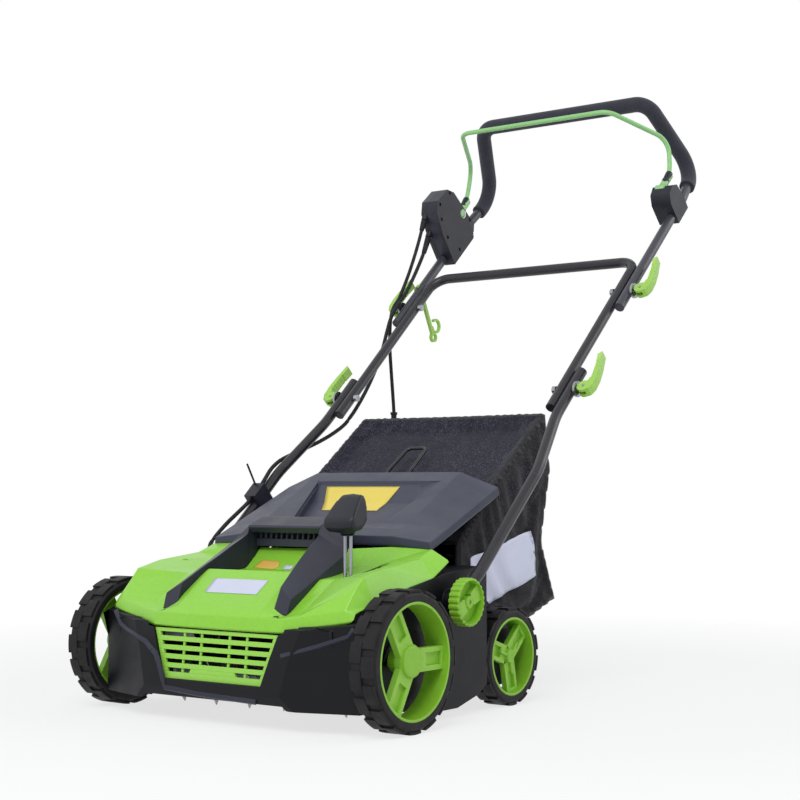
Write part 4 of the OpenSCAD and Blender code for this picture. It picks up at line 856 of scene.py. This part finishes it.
# Each axle's rims: radius, width, hub radius, first spoke's angle, face from the middle, centre
RIMS = {"front": (85, 41, 25, 0, 303.8, (0, 102.5)), "rear": (62.5, 38, 12, 42, 249.5, (343.4, 78.5))}
for end, sign in SIDES:
    for axle, (r, w, hub, start, x0, centre) in RIMS.items():
        name = f"{axle}_wheel_disc_{end}"
        mesh = rim_mesh(name, r, w, hub, start, sign * x0, sign, centre)
        disc = edged(piece(name, f"{axle}_wheel_{end}", mesh, RIM_GREEN), 0.0007, 25)
        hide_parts(f"{axle}_rim_{end}")

KNOB_DEEP = 18
KNOB_R, FLUTE = 36.6, 1.7
FACE_R, FACE_DEEP = 32, 13.5
PAD = [(9, -10), (30.5, -13), (32, 0), (30.5, 13), (9, 10)]
PAD_ANGLES = (27, 207)


def knob_face_mesh(name, x0, sign):
    """Clamp knob: a fluted ring, a sunk face with its hub, and two raised pads."""
    shape = bmesh.new()
    y0, z0 = KNOB_YZ
    rings = []
    for k, a in enumerate(circle(120)):
        r = KNOB_R - (FLUTE if k % 5 in (0, 1) else 0.0)
        profile = [(KNOB_DEEP, r), (1.6, r), (0, r - 1.6), (0, FACE_R + 0.5),
                   (FACE_DEEP, FACE_R - 0.5), (KNOB_DEEP, FACE_R - 0.5)]
        rings.append([shape.verts.new(at(x0 - sign * d, y0 + q * math.cos(a), z0 + q * math.sin(a)))
                      for d, q in profile])
    skin(shape, rings, joined=True)
    turned(shape, [(FACE_DEEP, 3.1), (FACE_DEEP, FACE_R), (17.5, FACE_R), (17.5, 3.1)],
           KNOB_YZ, x0, sign)
    turned(shape, [(2.5, 3.1), (2.5, 8.5), (3.5, 9.5), (14, 9.5), (14, 3.1)], KNOB_YZ, x0, sign, 40)
    for angle in PAD_ANGLES:
        spoke_block(shape, PAD, KNOB_YZ, x0, sign, angle, 4.5, 14)
    return closed_mesh(name, shape)


for end, sign in SIDES:
    x0 = sign * max(sign * v.co.x * 1000 for v in nodes[f"handle_knob_{end}"].data.vertices)
    name = f"knob_face_{end}"
    face = edged(piece(name, f"knob_{end}", knob_face_mesh(name, x0, sign), RIM_GREEN), 0.0005, 25)
    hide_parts(f"handle_knob_{end}")

# Front grille, on a face that leans back: five rows of slots with upright ribs behind the face,
# and a blank middle in the lowest row. Heights are measured up the face.
GRILLE_LOW, GRILLE_HIGH = (-94.5, 62), (-87.8, 137)
GRILLE_HALF, GRILLE_FLARE = 97.4, 27
GRILLE_DEEP, RIB_BACK = 5, 2.2
SLOT_TOPS = (69.3, 56, 42.7, 29.4, 16.1)
SLOT = 6
SLOT_END = 9
RIB_X, RIB_HALF = (-64, -29, 27, 61), 2


def grille_mesh():
    """The grille: bars across, closed ends, and ribs."""
    shape = bmesh.new()
    height = math.dist(GRILLE_LOW, GRILLE_HIGH)
    uy, uz = ((b - a) / height for a, b in zip(GRILLE_LOW, GRILLE_HIGH))

    def slab(outline, front=0):
        add_loft(shape, [[(x, GRILLE_LOW[0] + uy * up - uz * out, GRILLE_LOW[1] + uz * up + uy * out)
                          for x, up in outline] for out in (-front, -GRILLE_DEEP)])

    def half(up):
        return GRILLE_HALF + GRILLE_FLARE * up / height

    edges = [height - 0.05, *(v for top in SLOT_TOPS for v in (top, top - SLOT)), 0.05]
    for hi, lo in zip(edges[::2], edges[1::2]):
        slab([(-half(lo), lo), (half(lo), lo), (half(hi), hi), (-half(hi), hi)])
    for top in SLOT_TOPS:
        low = top - SLOT
        for side in (-1, 1):
            slab([(side * half(low), low), (side * half(top), top),
                  (side * (half(top) - SLOT_END), top), (side * (half(low) - SLOT_END), low)])
        lowest = top == SLOT_TOPS[-1]
        if lowest:
            slab([(-48, low), (45, low), (42, top), (-45, top)])
        for x in RIB_X:
            if not (lowest and abs(x) < 50):
                slab([(x - RIB_HALF, low), (x + RIB_HALF, low), (x + RIB_HALF, top),
                      (x - RIB_HALF, top)], RIB_BACK)
    return closed_mesh("grille_face", shape)


grille = edged(piece("grille_face", "chassis", grille_mesh(), GREEN), 0.0004, 25)
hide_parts("front_grille")

# Deck mouldings: width, height, the way they face and their line. The lip runs round the
# grille, and the ridges beside it.
MOULDINGS = {
    "grille_lip": (8, 2.2, (0, -0.99, 0.1), [
        (-121, -96.9, 102.5), (-113.4, -97.8, 97.2), (-104.8, -99.2, 82), (-95.5, -100.2, 60),
        (-91, -100.2, 49), (-20, -98.6, 43.8), (88.9, -97.5, 40.4)]),
    "ridge_left": (7, 3, (-0.15, -0.97, 0.15), [
        (-226, -73, 156), (-206.7, -79, 136.6), (-186.8, -85.4, 130), (-165, -92, 125),
        (-151, -95, 120), (-137, -95.8, 114.6), (-121, -96.9, 102.5)]),
    "ridge_right": (7, 3, (0.3, -0.95, 0.2), [
        (134, -96, 108), (189.1, -83.9, 123.7), (235.2, -69.3, 139.2), (243.7, -66.6, 150.6)]),
}
MOULDING_SUNK = 1.2


def moulding_mesh(name, width, rise, facing, line):
    """A low bar with sloping sides along the line."""
    shape = bmesh.new()
    facing = Vector(facing).normalized()
    points = [Vector(p) for p in line]
    half = width / 2
    section = ((-half - 1, -MOULDING_SUNK), (-half + 1, rise), (half - 1, rise),
               (half + 1, -MOULDING_SUNK))
    loops = []
    for p, before, after in zip(points, points[:1] + points, points[1:] + points[-1:]):
        side = (after - before).normalized().cross(facing).normalized()
        loops.append([tuple(p + side * u + facing * v) for u, v in section])
    add_loft(shape, loops)
    return closed_mesh(name, shape)


# The mouldings are the deck's own black plastic; their paler arm plastic is a painted highlight along
# their crests.
for name, form in MOULDINGS.items():
    moulding = edged(piece(name, "chassis", moulding_mesh(name, *form), ARM), 0.0006, 20)

# Skirts inside the rear wheels, in Y and Z
SKIRT = [(250, 34), (330, 24), (420, 30), (452, 66), (450, 110), (440, 118), (250, 118)]
SKIRT_X = (199.5, 203)
for end, sign in SIDES:
    name = f"tail_skirt_{end}"
    shape = bmesh.new()
    add_profile(shape, SKIRT, *(sign * x for x in SKIRT_X))
    skirt = edged(piece(name, "chassis", closed_mesh(name, shape), BLACK), 0.0008, 25)


# ------------------------------------------------------------------ bare labels
FILM_REACH = 0.03
FILM_CUTS = 4


def film(name, corners, facing, under, body, paint, lift=0.0004, cell=0.006):
    """A thin film with the given outline, laid onto what is under it, seen along the facing."""
    facing = Vector(facing).normalized()
    flat = bmesh.new()
    flat.faces.new([flat.verts.new(c) for c in corners])
    bmesh.ops.triangulate(flat, faces=flat.faces)
    for _ in range(FILM_CUTS):
        long = [e for e in flat.edges if e.calc_length() > cell]
        if long:
            bmesh.ops.subdivide_edges(flat, edges=long, cuts=1)
            bmesh.ops.triangulate(flat, faces=flat.faces)
    tree, world = surfaces(under)[0]
    back = world.inverted()
    for v in flat.verts:
        hit = tree.ray_cast(back @ (v.co + facing * FILM_REACH), back.to_3x3() @ -facing)[0]
        if hit is not None:
            v.co = world @ hit + facing * lift
    o = piece(name, body, mesh_of(name, flat), paint)
    thick = o.modifiers.new("thick", "SOLIDIFY")
    thick.thickness = lift * 0.8
    thick.offset = -1
    return o


# The bag's side patch in Y and Z
PATCH = [(295, 236), (476, 276), (463, 244), (485, 201), (342, 160), (295, 217)]
for end, sign in SIDES:
    panel = panels["bag_side_" + end]
    outline = [at(sign * BAG_X, y, z) for y, z in PATCH]
    patch = film("bag_patch_" + end, outline, (sign, 0, 0), panel, "bag", LILAC, 0.0008, 0.01)

COVER_SLOPE = (0, -0.62, 0.78)
FLAP_SLOPE = (0, -0.44, 0.90)
COVER = nodes["motor_cover"]
FILMS = [
    ("cover_label", COVER, "chassis", LILAC, COVER_SLOPE,
     [(-54, -29.5, 210), (53.5, -29.5, 210), (50.5, -54.5, 190), (-53, -54.5, 190)]),
    ("cover_patch", COVER, "chassis", ORANGE, COVER_SLOPE,
     [(-58, 62, 222), (-50, 76, 234), (-12, 74, 232), (-8, 66, 226), (-14, 60, 221)]),
    ("cover_patch_small", COVER, "chassis", LILAC, COVER_SLOPE,
     [(2, 61, 222), (4, 68, 228), (22, 68, 228), (20, 61, 222)]),
    ("flap_plate", flap_shell, "flap", YELLOW, FLAP_SLOPE,
     [(-104, 306, 348), (52, 306, 348), (42, 250, 316), (-74, 250, 316)]),
]
for name, under, body, paint, facing, corners in FILMS:
    film(name, [at(*c) for c in corners], facing, under, body, paint)


# ------------------------------------------------------------------ sleeves on the bail's ends
# (distance along, radius) in metres, from the pivot upwards
SLEEVE = [(0.0, 0.0052), (0.0, 0.0062), (0.008, 0.0062), (0.009, 0.0072), (0.013, 0.0072),
          (0.014, 0.0064), (0.026, 0.0070), (0.032, 0.0070), (0.034, 0.0062), (0.034, 0.0052)]
SLEEVE_FROM, SLEEVE_TO = (234.8, 279, 49.6), (236.5, 316, 54)
SLEEVE_AROUND = 40


def sleeve_mesh(name, start, end):
    """The sleeve's profile turned about the line from start towards end."""
    axis = (end - start).normalized()
    side = axis.orthogonal().normalized()
    other = axis.cross(side)
    shape = bmesh.new()
    skin(shape, [[shape.verts.new(start + axis * d + radius * (
        side * math.cos(a) + other * math.sin(a))) for a in circle(SLEEVE_AROUND)]
        for d, radius in SLEEVE], capped=True)
    return closed_mesh(name, shape)


for end, sign in SIDES:
    name = "bail_sleeve_" + end
    start, stop = (on_handle(sign * x, up, t) for x, up, t in (SLEEVE_FROM, SLEEVE_TO))
    sleeve = piece(name, "bail", sleeve_mesh(name, start, stop), BOX_BLACK)
    edged(sleeve, 0.0004, 40, clamp=True)


# ------------------------------------------------------------------ floor, light
FLOOR_CLEAR = 0.75      # the floor's own white begins here and is full at FLOOR_FAR
FLOOR_FAR = 1.7
FLOOR_SEEN = 0.72       # its share under the object, where the shadow shows
FLOOR_R = 6.0


def background_rays(tree):
    """1 where a ray shows the background, straight or by a mirror or glass, and 0 where it lights."""
    path = tree.nodes.new("ShaderNodeLightPath")
    found = path.outputs["Is Camera Ray"]
    for kind in ("Is Glossy Ray", "Is Transmission Ray"):
        most = tree.nodes.new("ShaderNodeMath")
        most.operation = "MAXIMUM"
        tree.links.new(found, most.inputs[0])
        tree.links.new(path.outputs[kind], most.inputs[1])
        found = most.outputs[0]
    return found


def shown_or_lit(tree, share, lit, shown, surface):
    """Join the shader that lights and the one that shows, by the share that shows."""
    both = tree.nodes.new("ShaderNodeMixShader")
    for source, target in zip((share, lit, shown), both.inputs):
        tree.links.new(source, target)
    tree.links.new(both.outputs[0], surface)


def floor_material():
    """A pale floor that keeps the shadow near the object and turns white further off."""
    m = Nodes("floor")
    m.finish(Roughness=0.9, Base_Color=(0.86, 0.86, 0.87, 1), Specular_IOR_Level=0.1)
    glow = m.new("Emission")
    glow.inputs["Color"].default_value = (1, 1, 1, 1)
    glow.inputs["Strength"].default_value = 1.0
    far = m.new("VectorMath", operation="LENGTH")
    m.link(m.place, far.inputs[0])
    white = m.ramp(far.outputs["Value"], FLOOR_CLEAR, FLOOR_FAR, FLOOR_SEEN, 1.0)
    share = m.math("MULTIPLY", white, background_rays(m.tree))
    shown_or_lit(m.tree, share, m.shader.outputs[0], glow.outputs[0],
                 m.tree.nodes["Material Output"].inputs["Surface"])
    return m.material


def build_stage():
    """The floor, and a world that is white to look at and softer as a light."""
    disc = bmesh.new()
    bmesh.ops.create_circle(disc, cap_ends=True, segments=96, radius=FLOOR_R)
    mesh = mesh_of("floor", disc)
    mesh.materials.append(floor_material())
    added("floor", mesh)

    world = bpy.data.worlds.new("studio")
    scene.world = world
    world.use_nodes = True
    tree = world.node_tree
    lit, shown = tree.nodes["Background"], tree.nodes.new("ShaderNodeBackground")
    shown.inputs["Color"].default_value = (1, 1, 1, 1)
    lit.inputs["Color"].default_value = (0.93, 0.96, 1, 1)
    lit.inputs["Strength"].default_value = 0.50
    shown_or_lit(tree, background_rays(tree), lit.outputs[0], shown.outputs[0],
                 tree.nodes["World Output"].inputs["Surface"])


def lamp(name, place, aim, size, power):
    """A square soft lamp turned towards its aim."""
    data = bpy.data.lights.new(name, "AREA")
    data.shape = "SQUARE"
    data.size = size
    data.energy = power
    o = added(name, data)
    o.location = place
    o.rotation_euler = (Vector(aim) - Vector(place)).to_track_quat("-Z", "Y").to_euler()


build_stage()
lamp("key", (0.9, -2.6, 3.0), (0, 0, 0.3), 2.2, 66)
lamp("fill", (-2.8, -1.6, 1.6), (0, 0, 0.4), 2.4, 5)
lamp("rim", (2.4, 2.2, 2.4), (0, 0, 0.5), 1.8, 22)
